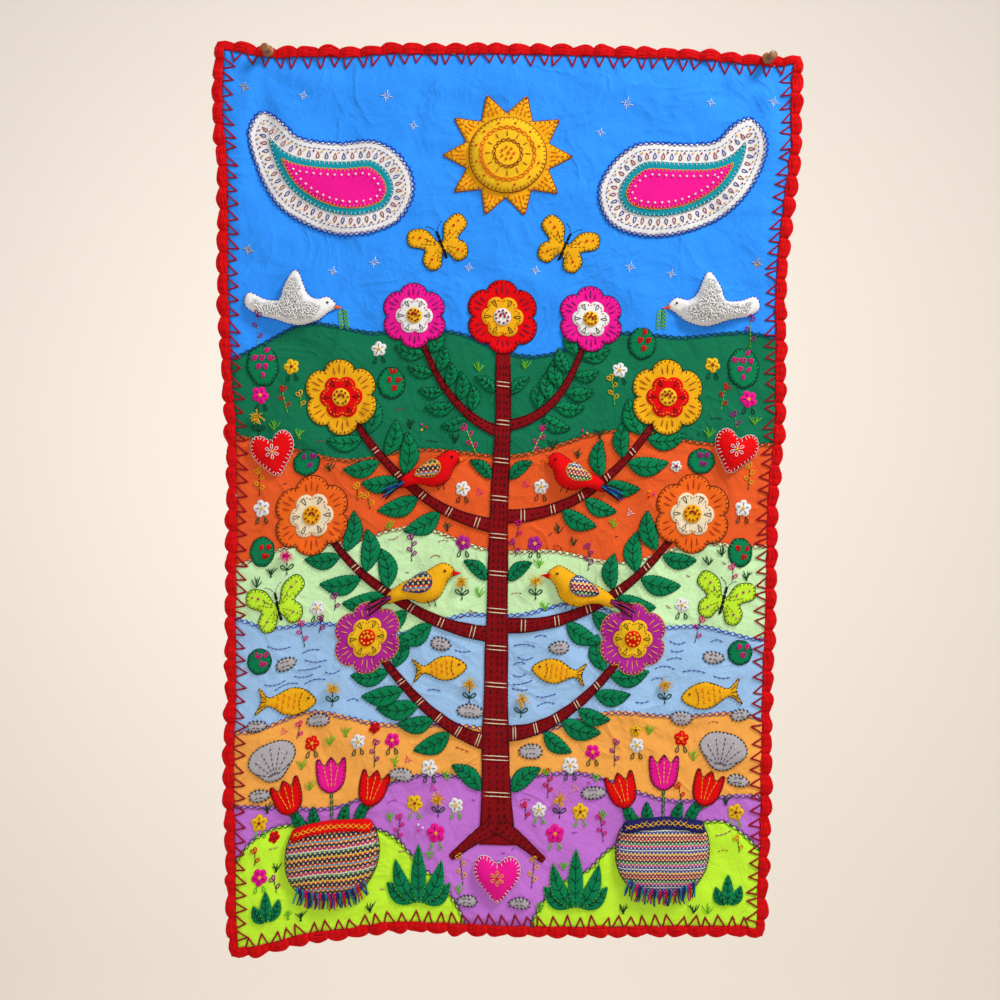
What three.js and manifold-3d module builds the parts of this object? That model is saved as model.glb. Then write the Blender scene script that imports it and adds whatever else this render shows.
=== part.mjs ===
// Embroidered hanging with two push pins.
//
// A sheet of sky blue cotton, about 570 mm wide and 885 mm long, hangs flat from two wooden push
// pins near its top corners. A band of red wool is crocheted all round its hem in small scallops. Felt shapes are sewn on its face: a branching tree with round blossoms,
// a sun, two big paisleys, butterflies, fish, shells and tulips lie flat, and the birds, hearts
// and flower pots are stuffed, so they stand proud of the cloth.
//
// Millimetres. +X to the viewer's right, +Z up. The plane y = 0 is the one that the needles go
// into, towards +Y, and the cloth hangs close before it, facing -Y. The origin is in that plane,
// midway between the two pins.

import * as THREE from "three";
import { mergeVertices } from "three/addons/utils/BufferGeometryUtils.js";
import Module from "manifold-3d";

const wasm = await Module();
wasm.setup();

// ---------------------------------------------------------------- driving dimensions
const CLOTH_W = 560; // width of the cut cloth between its hems
const CLOTH_H = 885; // length of the cut cloth
const CLOTH_T = 1.6; // the pieced cotton with its turned hem
const GRID_U = 13; // facets across
const GRID_V = 18; // facets down
const GAP = 0.3; // between pieces that touch
const FELT_T = 1.3; // wool felt
const LEVEL = FELT_T + GAP; // each felt piece that lies on another is one level up

const BAND_CREST = 10.8; // width of the crochet at the top of a scallop
const BAND_VALLEY = 6.8; // and between two scallops
const BAND_T = 3.6; // thickness of the wool
const BAND_STEPS = 3; // sections for each scallop
const SCALLOPS = { top: 27, right: 42, bottom: 26, left: 42 };

// seat is how far out the collar's middle is, where its edge bears on the wool.
const PIN = {
  left: { x: -248, z: 3.8, leanX: -9.5, leanZ: 2.8, seat: 5.3 },
  right: { x: 248, z: -3.8, leanX: 22, leanZ: 3.6, seat: 6.6 },
};
const PIN_COLLAR_R = 5.8;
const PIN_WAIST_R = 3.5;
const PIN_TOP_R = 4.2;
const PIN_HEAD_L = 14.5;
const NEEDLE_R = 0.6;
const NEEDLE_OUT = 11; // length of the steel outside the wooden head
const NEEDLE_IN = 3; // and in it

// Hem down the two sides. v runs from 0 at the top corner to 1 at the bottom corner.
const SIDE_HEMS = [
  { v: 0.0, left: -293.5, right: 276.5 },
  { v: 0.03, left: -294.5, right: 274.0 },
  { v: 0.08, left: -294.5, right: 273.5 },
  { v: 0.12, left: -291.0, right: 271.5 },
  { v: 0.16, left: -289.5, right: 266.5 },
  { v: 0.25, left: -289.5, right: 259.0 },
  { v: 0.35, left: -286.5, right: 258.0 },
  { v: 0.42, left: -282.0, right: 256.5 },
  { v: 0.52, left: -280.5, right: 249.5 },
  { v: 0.62, left: -281.5, right: 248.0 },
  { v: 0.72, left: -281.5, right: 244.5 },
  { v: 0.8, left: -283.5, right: 243.5 },
  { v: 0.88, left: -282.0, right: 242.0 },
  { v: 0.96, left: -280.5, right: 239.5 },
  { v: 1.0, left: -278.5, right: 238.5 },
];
// Hem along the top and the bottom. u runs from 0 at the left corner to 1 at the right corner.
const END_HEMS = [
  { u: 0.0, top: 7.2, bottom: -889.8 },
  { u: 0.05, top: 2.2, bottom: -885.8 },
  { u: 0.09, top: -0.8, bottom: -880.3 },
  { u: 0.14, top: -0.3, bottom: -874.3 },
  { u: 0.22, top: -0.8, bottom: -869.3 },
  { u: 0.3, top: 2.2, bottom: -863.3 },
  { u: 0.4, top: 2.2, bottom: -864.3 },
  { u: 0.5, top: 2.2, bottom: -866.8 },
  { u: 0.6, top: 0.7, bottom: -867.8 },
  { u: 0.72, top: -1.3, bottom: -867.8 },
  { u: 0.84, top: -3.8, bottom: -867.3 },
  { u: 0.92, top: -7.8, bottom: -867.3 },
  { u: 0.97, top: -9.8, bottom: -867.8 },
  { u: 1.0, top: -6.8, bottom: -870.8 },
];
// Main folds. a is the distance from the cloth's middle line and b from its top hem, angle is
// the direction that the fold runs in, long and wide are its half sizes, rise is its height.
const FOLDS = [
  { a: -268, b: 150, angle: 90, long: 120, wide: 16, rise: 3.0 },
  { a: -238, b: 62, angle: 86, long: 60, wide: 14, rise: -1.6 },
  { a: -150, b: 40, angle: 12, long: 90, wide: 18, rise: 1.8 },
  { a: 262, b: 105, angle: 92, long: 80, wide: 15, rise: 2.8 },
  { a: 205, b: 55, angle: -24, long: 80, wide: 17, rise: 1.8 },
  { a: 20, b: 28, angle: 2, long: 150, wide: 20, rise: 2.2 },
  { a: -262, b: 400, angle: 84, long: 90, wide: 18, rise: -2.2 },
  { a: 250, b: 300, angle: 96, long: 90, wide: 16, rise: -2.0 },
  { a: 244, b: 468, angle: 88, long: 60, wide: 15, rise: 2.4 },
  { a: -200, b: 560, angle: 20, long: 90, wide: 26, rise: 2.0 },
  { a: 110, b: 640, angle: -32, long: 110, wide: 26, rise: 2.0 },
  { a: -225, b: 735, angle: 38, long: 80, wide: 20, rise: 2.4 },
  { a: 262, b: 720, angle: 90, long: 90, wide: 16, rise: 2.2 },
  { a: -262, b: 850, angle: 35, long: 70, wide: 34, rise: 4.5 },
  { a: 40, b: 860, angle: 0, long: 70, wide: 24, rise: 2.6 },
  { a: 225, b: 858, angle: -30, long: 60, wide: 26, rise: 2.8 },
];
const REST_GAP = 2.2; // least distance of the cloth's back from the plane behind it
const BELLY = 3.4; // more in the middle, where the sewn-on pieces make it stiff
const PIN_PULL = { reach: 42, depth: 0.9 }; // the pins draw the cloth back

// ---------------------------------------------------------------- the cloth's shape
// A value from a table's column at t, by a smooth curve through its rows.
function along(table, key, column, t) {
  const n = table.length;
  let i = 0;
  while (i < n - 2 && t > table[i + 1][key]) i++;
  const slope = (k) => {
    const p = table[Math.max(k - 1, 0)],
      q = table[Math.min(k + 1, n - 1)];
    return (q[column] - p[column]) / (q[key] - p[key]);
  };
  const p = table[i],
    q = table[i + 1],
    d = q[key] - p[key],
    s = (t - p[key]) / d,
    s2 = s * s,
    s3 = s2 * s;
  return (
    p[column] * (2 * s3 - 3 * s2 + 1) +
    q[column] * (3 * s2 - 2 * s3) +
    d * slope(i) * (s3 - 2 * s2 + s) +
    d * slope(i + 1) * (s3 - s2)
  );
}
const first = (table) => table[0];
const last = (table) => table[table.length - 1];
const CORNER = {
  tl: [first(SIDE_HEMS).left, first(END_HEMS).top],
  tr: [first(SIDE_HEMS).right, last(END_HEMS).top],
  bl: [last(SIDE_HEMS).left, first(END_HEMS).bottom],
  br: [last(SIDE_HEMS).right, last(END_HEMS).bottom],
};
const mix = (p, q, t) => p + (q - p) * t;

// A point of the cloth as it hangs, seen face on: (u, v) from 0 to 1 gives [x, z].
function hang(u, v) {
  const left = [
    along(SIDE_HEMS, "v", "left", v),
    mix(CORNER.tl[1], CORNER.bl[1], v),
  ];
  const right = [
    along(SIDE_HEMS, "v", "right", v),
    mix(CORNER.tr[1], CORNER.br[1], v),
  ];
  const top = [
    mix(CORNER.tl[0], CORNER.tr[0], u),
    along(END_HEMS, "u", "top", u),
  ];
  const bottom = [
    mix(CORNER.bl[0], CORNER.br[0], u),
    along(END_HEMS, "u", "bottom", u),
  ];
  return [0, 1].map(
    (k) =>
      mix(top[k], bottom[k], v) +
      mix(left[k], right[k], u) -
      mix(
        mix(CORNER.tl[k], CORNER.tr[k], u),
        mix(CORNER.bl[k], CORNER.br[k], u),
        v,
      ),
  );
}
// The same from millimetres on the cut cloth: a from its middle line, b down from its top hem.
const onCloth = (a, b) => hang(a / CLOTH_W + 0.5, b / CLOTH_H);

// How far the cloth's back stands off the plane y = 0.
function standOff(a, b) {
  const u = a / CLOTH_W + 0.5;
  let h =
    REST_GAP +
    BELLY * Math.pow(Math.max(Math.sin(Math.PI * u), 0), 0.5) *
      (1 - Math.exp(-Math.max(b, 0) / 90));
  for (const f of FOLDS) {
    const t = THREE.MathUtils.degToRad(f.angle),
      dx = a - f.a,
      dy = -(b - f.b),
      s = (dx * Math.cos(t) + dy * Math.sin(t)) / f.long,
      w = (-dx * Math.sin(t) + dy * Math.cos(t)) / f.wide;
    h += f.rise * Math.exp(-s * s - w * w);
  }
  h = Math.max(h, 1.2);
  const [x, z] = onCloth(a, b);
  for (const p of Object.values(PIN)) {
    const near = Math.exp(
      -((x - p.x) ** 2 + (z - p.z) ** 2) / PIN_PULL.reach ** 2,
    );
    h = mix(h, PIN_PULL.depth, near);
  }
  return h;
}

// ---------------------------------------------------------------- helpers for solids
function bare(geometry) {
  const g = geometry.clone();
  g.deleteAttribute("normal");
  g.deleteAttribute("uv");
  return mergeVertices(g, 1e-3);
}
function solid(geometry) {
  const g = bare(geometry);
  const tri = new Uint32Array(g.index.array);
  const make = () =>
    new wasm.Manifold(
      new wasm.Mesh({
        numProp: 3,
        vertProperties: new Float32Array(g.attributes.position.array),
        triVerts: tri,
      }),
    );
  const made = make();
  if (made.volume() > 0) return made;
  for (let i = 0; i < tri.length; i += 3)
    [tri[i + 1], tri[i + 2]] = [tri[i + 2], tri[i + 1]];
  return make();
}
function geometryOf(made) {
  const m = made.getMesh(),
    n = m.numProp,
    v = new Float32Array(m.numVert * 3);
  for (let i = 0; i < m.numVert; i++)
    v.set(m.vertProperties.subarray(i * n, i * n + 3), i * 3);
  const g = new THREE.BufferGeometry();
  g.setAttribute("position", new THREE.BufferAttribute(v, 3));
  g.setIndex(new THREE.BufferAttribute(new Uint32Array(m.triVerts), 1));
  g.computeVertexNormals();
  return g;
}

// A sheet on the cloth's own facets, from back to front millimetres in front of its back face.
// A back of null carries it through to well behind.
function sheet(back, front) {
  const nu = GRID_U + 1,
    nv = GRID_V + 1,
    v = [],
    tri = [];
  for (const face of [front, back])
    for (let j = 0; j < nv; j++)
      for (let i = 0; i < nu; i++) {
        const s = i / GRID_U,
          t = j / GRID_V,
          [x, z] = hang(s, t),
          h = standOff((s - 0.5) * CLOTH_W, t * CLOTH_H);
        v.push(x, face === null ? 60 : -(h + face), z);
      }
  const at = (side, i, j) => side * nu * nv + j * nu + i;
  const quad = (p, q, r, s) => tri.push(p, q, r, p, r, s);
  for (let j = 0; j < GRID_V; j++)
    for (let i = 0; i < GRID_U; i++) {
      // the same diagonal on both faces, so that layers nest
      const [p, q, r, s] = [at(0, i, j), at(0, i, j + 1), at(0, i + 1, j + 1), at(0, i + 1, j)];
      quad(p, q, r, s);
      const [k, l, m, n] = [p, q, r, s].map((x) => x + nu * nv);
      tri.push(k, m, l, k, n, m);
    }
  for (let i = 0; i < GRID_U; i++) {
    quad(at(0, i, 0), at(0, i + 1, 0), at(1, i + 1, 0), at(1, i, 0));
    quad(at(0, i + 1, GRID_V), at(0, i, GRID_V), at(1, i, GRID_V), at(1, i + 1, GRID_V));
  }
  for (let j = 0; j < GRID_V; j++) {
    quad(at(0, 0, j + 1), at(0, 0, j), at(1, 0, j), at(1, 0, j + 1));
    quad(at(0, GRID_U, j), at(0, GRID_U, j + 1), at(1, GRID_U, j + 1), at(1, GRID_U, j));
  }
  const g = new THREE.BufferGeometry();
  g.setAttribute("position", new THREE.Float32BufferAttribute(v, 3));
  g.setIndex(tri);
  return g;
}

// A point in millimetres about a motif's middle, on the cloth: [a, b].
function spot(row, [lx, ly]) {
  const t = THREE.MathUtils.degToRad(row.turn || 0),
    k = row.scale || 1,
    px = lx * k * (row.mirror ? -1 : 1),
    py = ly * k;
  return [
    row.a + px * Math.cos(t) - py * Math.sin(t),
    row.b - (px * Math.sin(t) + py * Math.cos(t)),
  ];
}
const placed = (outline, row) =>
  outline.map((p) => new THREE.Vector2(...onCloth(...spot(row, p))));

// A prism of an outline, from behind the cloth to well in front of it.
function prism(points) {
  const g = new THREE.ExtrudeGeometry(new THREE.Shape(points), {
    depth: 45,
    bevelEnabled: false,
    curveSegments: 1,
    steps: 1,
  });
  g.rotateX(Math.PI / 2);
  g.translate(0, 5, 0);
  return g;
}
// A stuffed shape: the rim stands a little off what is below, and rings of the outline, drawn in
// towards its middle, rise in a quarter round. It runs on behind the cloth, to be cut there.
const RINGS = [
  { draw: 1, up: 0 },
  { draw: 0.88, up: 0.6 },
  { draw: 0.54, up: 0.93 },
];
function stuffed(outline, row, low) {
  const n = outline.length,
    rim = low + 1.2,
    v = [],
    tri = [];
  const put = (p, y) => {
    const [a, b] = spot(row, p),
      [x, z] = onCloth(a, b);
    v.push(x, y === null ? 5 : -(standOff(a, b) + y), z);
  };
  outline.forEach((p) => put(p, null));
  for (const r of RINGS)
    outline.forEach(([x, y]) =>
      put([x * r.draw, y * r.draw], rim + (row.rise - 1.2) * r.up),
    );
  put([0, 0], null);
  put([0, 0], rim + row.rise - 1.2);
  const back = n * (RINGS.length + 1),
    top = back + 1;
  for (let i = 0; i < n; i++) {
    const j = (i + 1) % n;
    tri.push(back, j, i);
    for (let k = 0; k < RINGS.length; k++) {
      const p = k * n,
        q = p + n;
      tri.push(p + i, p + j, q + j, p + i, q + j, q + i);
    }
    tri.push(RINGS.length * n + i, RINGS.length * n + j, top);
  }
  const g = new THREE.BufferGeometry();
  g.setAttribute("position", new THREE.Float32BufferAttribute(v, 3));
  g.setIndex(tri);
  return g;
}
// A smooth closed curve through control points, sampled a few times between each two.
function smooth(points, samples) {
  const curve = new THREE.CatmullRomCurve3(
    points.map(([x, y]) => new THREE.Vector3(x, y, 0)),
    true,
    "centripetal",
  );
  return curve
    .getPoints(points.length * samples)
    .slice(0, -1)
    .map((p) => [p.x, p.y]);
}

// ---------------------------------------------------------------- outlines of the felt shapes
const mirrored = (half) => [
  ...half,
  ...half
    .slice()
    .reverse()
    .map(([x, y]) => [-x, y]),
];
const OUTLINE = {
  blossom: (row) => {
    const n = row.petals || 6,
      out = [];
    for (let i = 0; i < n * 3; i++) {
      const r = row.r * (i % 3 === 0 ? 0.8 : 1);
      const t = ((i + (i % 3 === 1 ? -0.2 : i % 3 === 2 ? 0.2 : 0)) / (n * 3)) * 2 * Math.PI;
      out.push([r * Math.cos(t), r * Math.sin(t)]);
    }
    return out;
  },
  rays: (row) => {
    const out = [];
    for (let i = 0; i < 20; i++) {
      const r = i % 2 ? row.r * 0.66 : row.r,
        t = (i / 20) * 2 * Math.PI;
      out.push([r * Math.cos(t), r * Math.sin(t)]);
    }
    return out;
  },
  disc: (row) => {
    const out = [];
    for (let i = 0; i < 16; i++) {
      const t = (i / 16) * 2 * Math.PI;
      out.push([row.r * Math.cos(t), row.r * Math.sin(t)]);
    }
    return out;
  },
  heart: (row) =>
    smooth(
      mirrored([
        [1.5, -17],
        [9, -9],
        [16, 0],
        [17, 9],
        [12, 15.5],
        [6, 14.5],
        [1.5, 10.5],
      ]).map(([x, y]) => [(x * row.r) / 17, (y * row.r) / 17]),
      1,
    ),
  paisley: () =>
    smooth(
      [
        [-72, -8],
        [-62, -36],
        [-30, -50],
        [12, -48],
        [48, -30],
        [70, 0],
        [78, 30],
        [68, 50],
        [52, 44],
        [34, 30],
        [4, 30],
        [-34, 34],
        [-60, 18],
      ],
      1,
    ),
  dove: () =>
    smooth(
      [
        [47, 5],
        [36, 15],
        [25, 11],
        [15, 15],
        [-2, 42],
        [-14, 24],
        [-18, 9],
        [-34, 8],
        [-52, 12],
        [-55, -2],
        [-44, -9],
        [-20, -13],
        [6, -19],
        [27, -13],
        [38, -3],
      ],
      1,
    ),
  songbird: () =>
    smooth(
      [
        [31, 8],
        [22, 17],
        [11, 14],
        [-1, 8],
        [-17, 3],
        [-34, -6],
        [-37, -14],
        [-15, -13],
        [0, -18],
        [15, -13],
        [23, 0],
      ],
      1,
    ),
  butterfly: () =>
    smooth(
      mirrored([
        [2.5, 4],
        [10, 20],
        [26, 25],
        [31, 12],
        [17, 1],
        [23, -7],
        [20, -19],
        [9, -20],
        [2.5, -8],
      ]),
      1,
    ),
  fish: () =>
    smooth(
      [
        [31, 0],
        [16, 12],
        [0, 13],
        [-14, 6],
        [-21, 4],
        [-33, 14],
        [-28, 0],
        [-33, -14],
        [-21, -4],
        [-14, -6],
        [0, -13],
        [16, -12],
      ],
      1,
    ),
  shell: () =>
    smooth(
      mirrored([
        [6, -17],
        [14, -10],
        [23, 2],
        [19, 12],
        [10, 17],
        [2, 18],
      ]),
      1,
    ),
  pot: () =>
    smooth(
      mirrored([
        [20, -39],
        [38, -28],
        [49, -6],
        [48, 18],
        [40, 32],
        [16, 34],
      ]),
      1,
    ),
  tulip: () =>
    smooth(
      [
        [0, -18],
        [11, -12],
        [15, 3],
        [14, 18],
        [7, 9],
        [0, 18],
        [-7, 9],
        [-14, 18],
        [-15, 3],
        [-11, -12],
      ],
      1,
    ),
};

// The tree is one piece of felt: each row is a strip from its root, by way of a bend, to its tip.
const TREE = [
  { a0: 0, b0: 803, a1: -7, b1: 560, a2: 0, b2: 300, w0: 40, w2: 15 },
  { a0: 2, b0: 780, a1: -24, b1: 796, a2: -50, b2: 818, w0: 26, w2: 7 },
  { a0: -2, b0: 780, a1: 24, b1: 796, a2: 50, b2: 818, w0: 26, w2: 7 },
  { a0: -6, b0: 700, a1: -70, b1: 690, a2: -128, b2: 610, w0: 20, w2: 8 },
  { a0: 2, b0: 690, a1: 70, b1: 690, a2: 128, b2: 610, w0: 20, w2: 8 },
  { a0: -6, b0: 590, a1: -110, b1: 585, a2: -186, b2: 480, w0: 19, w2: 7 },
  { a0: 0, b0: 580, a1: 110, b1: 585, a2: 186, b2: 480, w0: 19, w2: 7 },
  { a0: -5, b0: 480, a1: -100, b1: 470, a2: -160, b2: 362, w0: 17, w2: 7 },
  { a0: 0, b0: 470, a1: 100, b1: 470, a2: 160, b2: 362, w0: 17, w2: 7 },
  { a0: -3, b0: 385, a1: -60, b1: 370, a2: -84, b2: 288, w0: 14, w2: 6 },
  { a0: 1, b0: 378, a1: 60, b1: 370, a2: 84, b2: 288, w0: 14, w2: 6 },
];

// Flat felt pieces. level counts the layers of felt beneath.
const FLAT = [
  { name: "sun_rays", kind: "rays", a: 0, b: 104, r: 64, level: 0, colour: 0xf5a81c },
  { name: "paisley_left", kind: "paisley", a: -172, b: 122, scale: 1.12, turn: -8, mirror: true, level: 0, colour: 0xeeeeee },
  { name: "paisley_right", kind: "paisley", a: 172, b: 122, scale: 1.12, turn: 8, level: 0, colour: 0xeeeeee },
  { name: "blossom_top", kind: "blossom", a: 0, b: 268, r: 37, level: 1, colour: 0xe01a20 },
  { name: "blossom_upper_left", kind: "blossom", a: -90, b: 268, r: 33, level: 1, colour: 0xff1493 },
  { name: "blossom_upper_right", kind: "blossom", a: 90, b: 268, r: 33, level: 1, colour: 0xff1493 },
  { name: "blossom_mid_left", kind: "blossom", a: -168, b: 346, r: 38, level: 1, colour: 0xf5a81c },
  { name: "blossom_mid_right", kind: "blossom", a: 168, b: 346, r: 38, level: 1, colour: 0xf5a81c },
  { name: "blossom_wide_left", kind: "blossom", a: -200, b: 464, r: 40, level: 1, colour: 0xff5a10 },
  { name: "blossom_wide_right", kind: "blossom", a: 200, b: 464, r: 40, level: 1, colour: 0xff5a10 },
  { name: "blossom_low_left", kind: "blossom", a: -140, b: 592, r: 36, level: 1, colour: 0xb02a9c },
  { name: "blossom_low_right", kind: "blossom", a: 140, b: 592, r: 36, level: 1, colour: 0xb02a9c },
  { name: "butterfly_upper_left", kind: "butterfly", a: -62, b: 196, turn: 22, level: 0, colour: 0xf5a81c },
  { name: "butterfly_upper_right", kind: "butterfly", a: 62, b: 196, turn: -22, level: 0, colour: 0xf5a81c },
  { name: "butterfly_lower_left", kind: "butterfly", a: -234, b: 552, turn: 14, level: 0, colour: 0xccff33 },
  { name: "butterfly_lower_right", kind: "butterfly", a: 234, b: 552, turn: -14, level: 0, colour: 0xccff33 },
  { name: "fish_left", kind: "fish", a: -224, b: 648, turn: -8, level: 0, colour: 0xf5a81c },
  { name: "fish_inner_left", kind: "fish", a: -62, b: 626, turn: 6, scale: 0.9, level: 0, colour: 0xf5a81c },
  { name: "fish_inner_right", kind: "fish", a: 62, b: 626, turn: -6, scale: 0.9, mirror: true, level: 0, colour: 0xf5a81c },
  { name: "fish_right", kind: "fish", a: 224, b: 648, turn: 8, mirror: true, level: 0, colour: 0xf5a81c },
  { name: "shell_left", kind: "shell", a: -238, b: 706, turn: 10, scale: 1.1, level: 0, colour: 0x9c9c9f },
  { name: "shell_right", kind: "shell", a: 238, b: 706, turn: -10, scale: 1.1, level: 0, colour: 0x9c9c9f },
  { name: "tulip_left_outer", kind: "tulip", a: -222, b: 744, turn: 16, level: 0, colour: 0xd0122e },
  { name: "tulip_left_middle", kind: "tulip", a: -176, b: 728, level: 0, colour: 0xff1493 },
  { name: "tulip_left_inner", kind: "tulip", a: -132, b: 746, turn: -16, level: 0, colour: 0xd0122e },
  { name: "tulip_right_inner", kind: "tulip", a: 132, b: 746, turn: 16, level: 0, colour: 0xd0122e },
  { name: "tulip_right_middle", kind: "tulip", a: 176, b: 728, level: 0, colour: 0xff1493 },
  { name: "tulip_right_outer", kind: "tulip", a: 222, b: 744, turn: -16, level: 0, colour: 0xd0122e },
];

// Stuffed pieces. rise is how far the stuffing stands in front of the cloth.
const STUFFED = [
  { name: "sun_disc", kind: "disc", a: 0, b: 104, r: 38, level: 1, rise: 9, colour: 0xffc21c },
  { name: "dove_left", kind: "dove", a: -212, b: 254, turn: -6, scale: 0.92, level: 0, rise: 10, colour: 0xf4f4f2 },
  { name: "dove_right", kind: "dove", a: 212, b: 254, turn: 6, scale: 0.92, mirror: true, level: 0, rise: 10, colour: 0xf4f4f2 },
  { name: "songbird_upper_left", kind: "songbird", a: -74, b: 424, turn: 8, level: 1, rise: 12, colour: 0xd0122e },
  { name: "songbird_upper_right", kind: "songbird", a: 74, b: 424, turn: -8, mirror: true, level: 1, rise: 12, colour: 0xd0122e },
  { name: "songbird_lower_left", kind: "songbird", a: -82, b: 540, turn: 6, scale: 1.12, level: 1, rise: 12, colour: 0xf5a81c },
  { name: "songbird_lower_right", kind: "songbird", a: 82, b: 540, turn: -6, scale: 1.12, mirror: true, level: 1, rise: 12, colour: 0xf5a81c },
  { name: "heart_left", kind: "heart", a: -240, b: 398, r: 22, turn: 12, level: 0, rise: 10, colour: 0xe01a20 },
  { name: "heart_right", kind: "heart", a: 240, b: 398, r: 22, turn: -12, level: 0, rise: 10, colour: 0xe01a20 },
  { name: "heart_base", kind: "heart", a: 0, b: 836, r: 24, level: 1, rise: 11, colour: 0xff1493 },
  { name: "pot_left", kind: "pot", a: -176, b: 812, level: 0, rise: 15, colour: 0x3a2c5e },
  { name: "pot_right", kind: "pot", a: 176, b: 812, level: 0, rise: 15, colour: 0x3a2c5e },
];

// ---------------------------------------------------------------- building
const hanging = new THREE.Group();
hanging.name = "hanging";
function add(name, geometry, colour, roughness = 0.92, metalness = 0) {
  const mesh = new THREE.Mesh(
    geometry,
    new THREE.MeshStandardMaterial({ color: colour, roughness, metalness }),
  );
  mesh.name = name;
  hanging.add(mesh);
  return mesh;
}

// The cotton ground.
add("ground", sheet(0, CLOTH_T), 0x388ef0);

// The tree, cut from one piece of felt.
{
  const quarter = (r, t) => {
    const k = 1 - t;
    return [
      k * k * r.a0 + 2 * k * t * r.a1 + t * t * r.a2,
      k * k * r.b0 + 2 * k * t * r.b1 + t * t * r.b2,
    ];
  };
  let made = null;
  for (const r of TREE) {
    const n = 3,
      one = [],
      other = [];
    for (let i = 0; i <= n; i++) {
      const t = i / n,
        p = quarter(r, t),
        q = quarter(r, Math.min(t + 0.01, 1)),
        o = quarter(r, Math.max(t - 0.01, 0));
      const dx = q[0] - o[0],
        dy = q[1] - o[1],
        l = Math.hypot(dx, dy),
        w = mix(r.w0, r.w2, Math.sqrt(t)) / 2;
      one.push(onCloth(p[0] - (dy / l) * w, p[1] + (dx / l) * w));
      other.push(onCloth(p[0] + (dy / l) * w, p[1] - (dx / l) * w));
    }
    const strip = solid(
      prism(
        [...one, ...other.reverse()].map(([x, z]) => new THREE.Vector2(x, z)),
      ),
    );
    made = made ? made.add(strip) : strip;
  }
  const layer = solid(sheet(CLOTH_T + GAP, CLOTH_T + GAP + FELT_T));
  add("tree", geometryOf(made.intersect(layer)), 0x6b1a20);
}

// Flat felt.
for (const row of FLAT) {
  const low = CLOTH_T + GAP + row.level * LEVEL;
  const layer = solid(sheet(low, low + FELT_T));
  const cut = solid(prism(placed(OUTLINE[row.kind](row), row)));
  add(row.name, geometryOf(cut.intersect(layer)), row.colour);
}

// Stuffed pieces, flat at the back where they are sewn to the cloth.
for (const row of STUFFED) {
  const low = CLOTH_T + GAP + row.level * LEVEL;
  const under = solid(sheet(null, low));
  const cut = solid(stuffed(OUTLINE[row.kind](row), row, low));
  add(row.name, geometryOf(cut.subtract(under)), row.colour);
}

// The push pins.
const needleHoles = [];
for (const [side, p] of Object.entries(PIN)) {
  const place = new THREE.Group();
  place.position.set(p.x, -p.seat, p.z);
  // the lathe's axis is +Y: turned so that the head points to -Y
  place.rotation.set(
    THREE.MathUtils.degToRad(180 - p.leanZ),
    0,
    THREE.MathUtils.degToRad(p.leanX),
    "ZYX",
  );
  const L = PIN_HEAD_L;
  const head = new THREE.LatheGeometry(
    [
      [0, NEEDLE_IN + GAP],
      [NEEDLE_R + GAP, NEEDLE_IN + GAP],
      [NEEDLE_R + GAP, 0],
      [PIN_COLLAR_R - 0.6, 0],
      [PIN_COLLAR_R, 0.8],
      [PIN_COLLAR_R, 2.4],
      [PIN_COLLAR_R - 0.8, 3.3],
      [PIN_WAIST_R + 0.4, 4.6],
      [PIN_WAIST_R, 6.8],
      [PIN_WAIST_R + 0.3, 9.2],
      [PIN_TOP_R, 11.4],
      [PIN_TOP_R, L - 0.9],
      [PIN_TOP_R - 0.9, L],
      [0, L],
    ].map(([r, y]) => new THREE.Vector2(r, y)),
    16,
  );
  const needle = new THREE.LatheGeometry(
    [
      [0, -NEEDLE_OUT],
      [NEEDLE_R, -NEEDLE_OUT + 3],
      [NEEDLE_R, NEEDLE_IN],
      [0, NEEDLE_IN],
    ].map(([r, y]) => new THREE.Vector2(r, y)),
    10,
  );
  const headMesh = new THREE.Mesh(
    head,
    new THREE.MeshStandardMaterial({ color: 0x9c6a3c, roughness: 0.6 }),
  );
  headMesh.name = "pin_head_" + side;
  const needleMesh = new THREE.Mesh(
    needle,
    new THREE.MeshStandardMaterial({
      color: 0xc8c8c8,
      roughness: 0.3,
      metalness: 1,
    }),
  );
  needleMesh.name = "pin_needle_" + side;
  place.add(headMesh, needleMesh);
  hanging.add(place);
  place.updateMatrixWorld(true);
  const bore = new THREE.CylinderGeometry(NEEDLE_R + 0.5, NEEDLE_R + 0.5, 30, 8);
  bore.applyMatrix4(place.matrixWorld);
  needleHoles.push(solid(bore));
}

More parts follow.
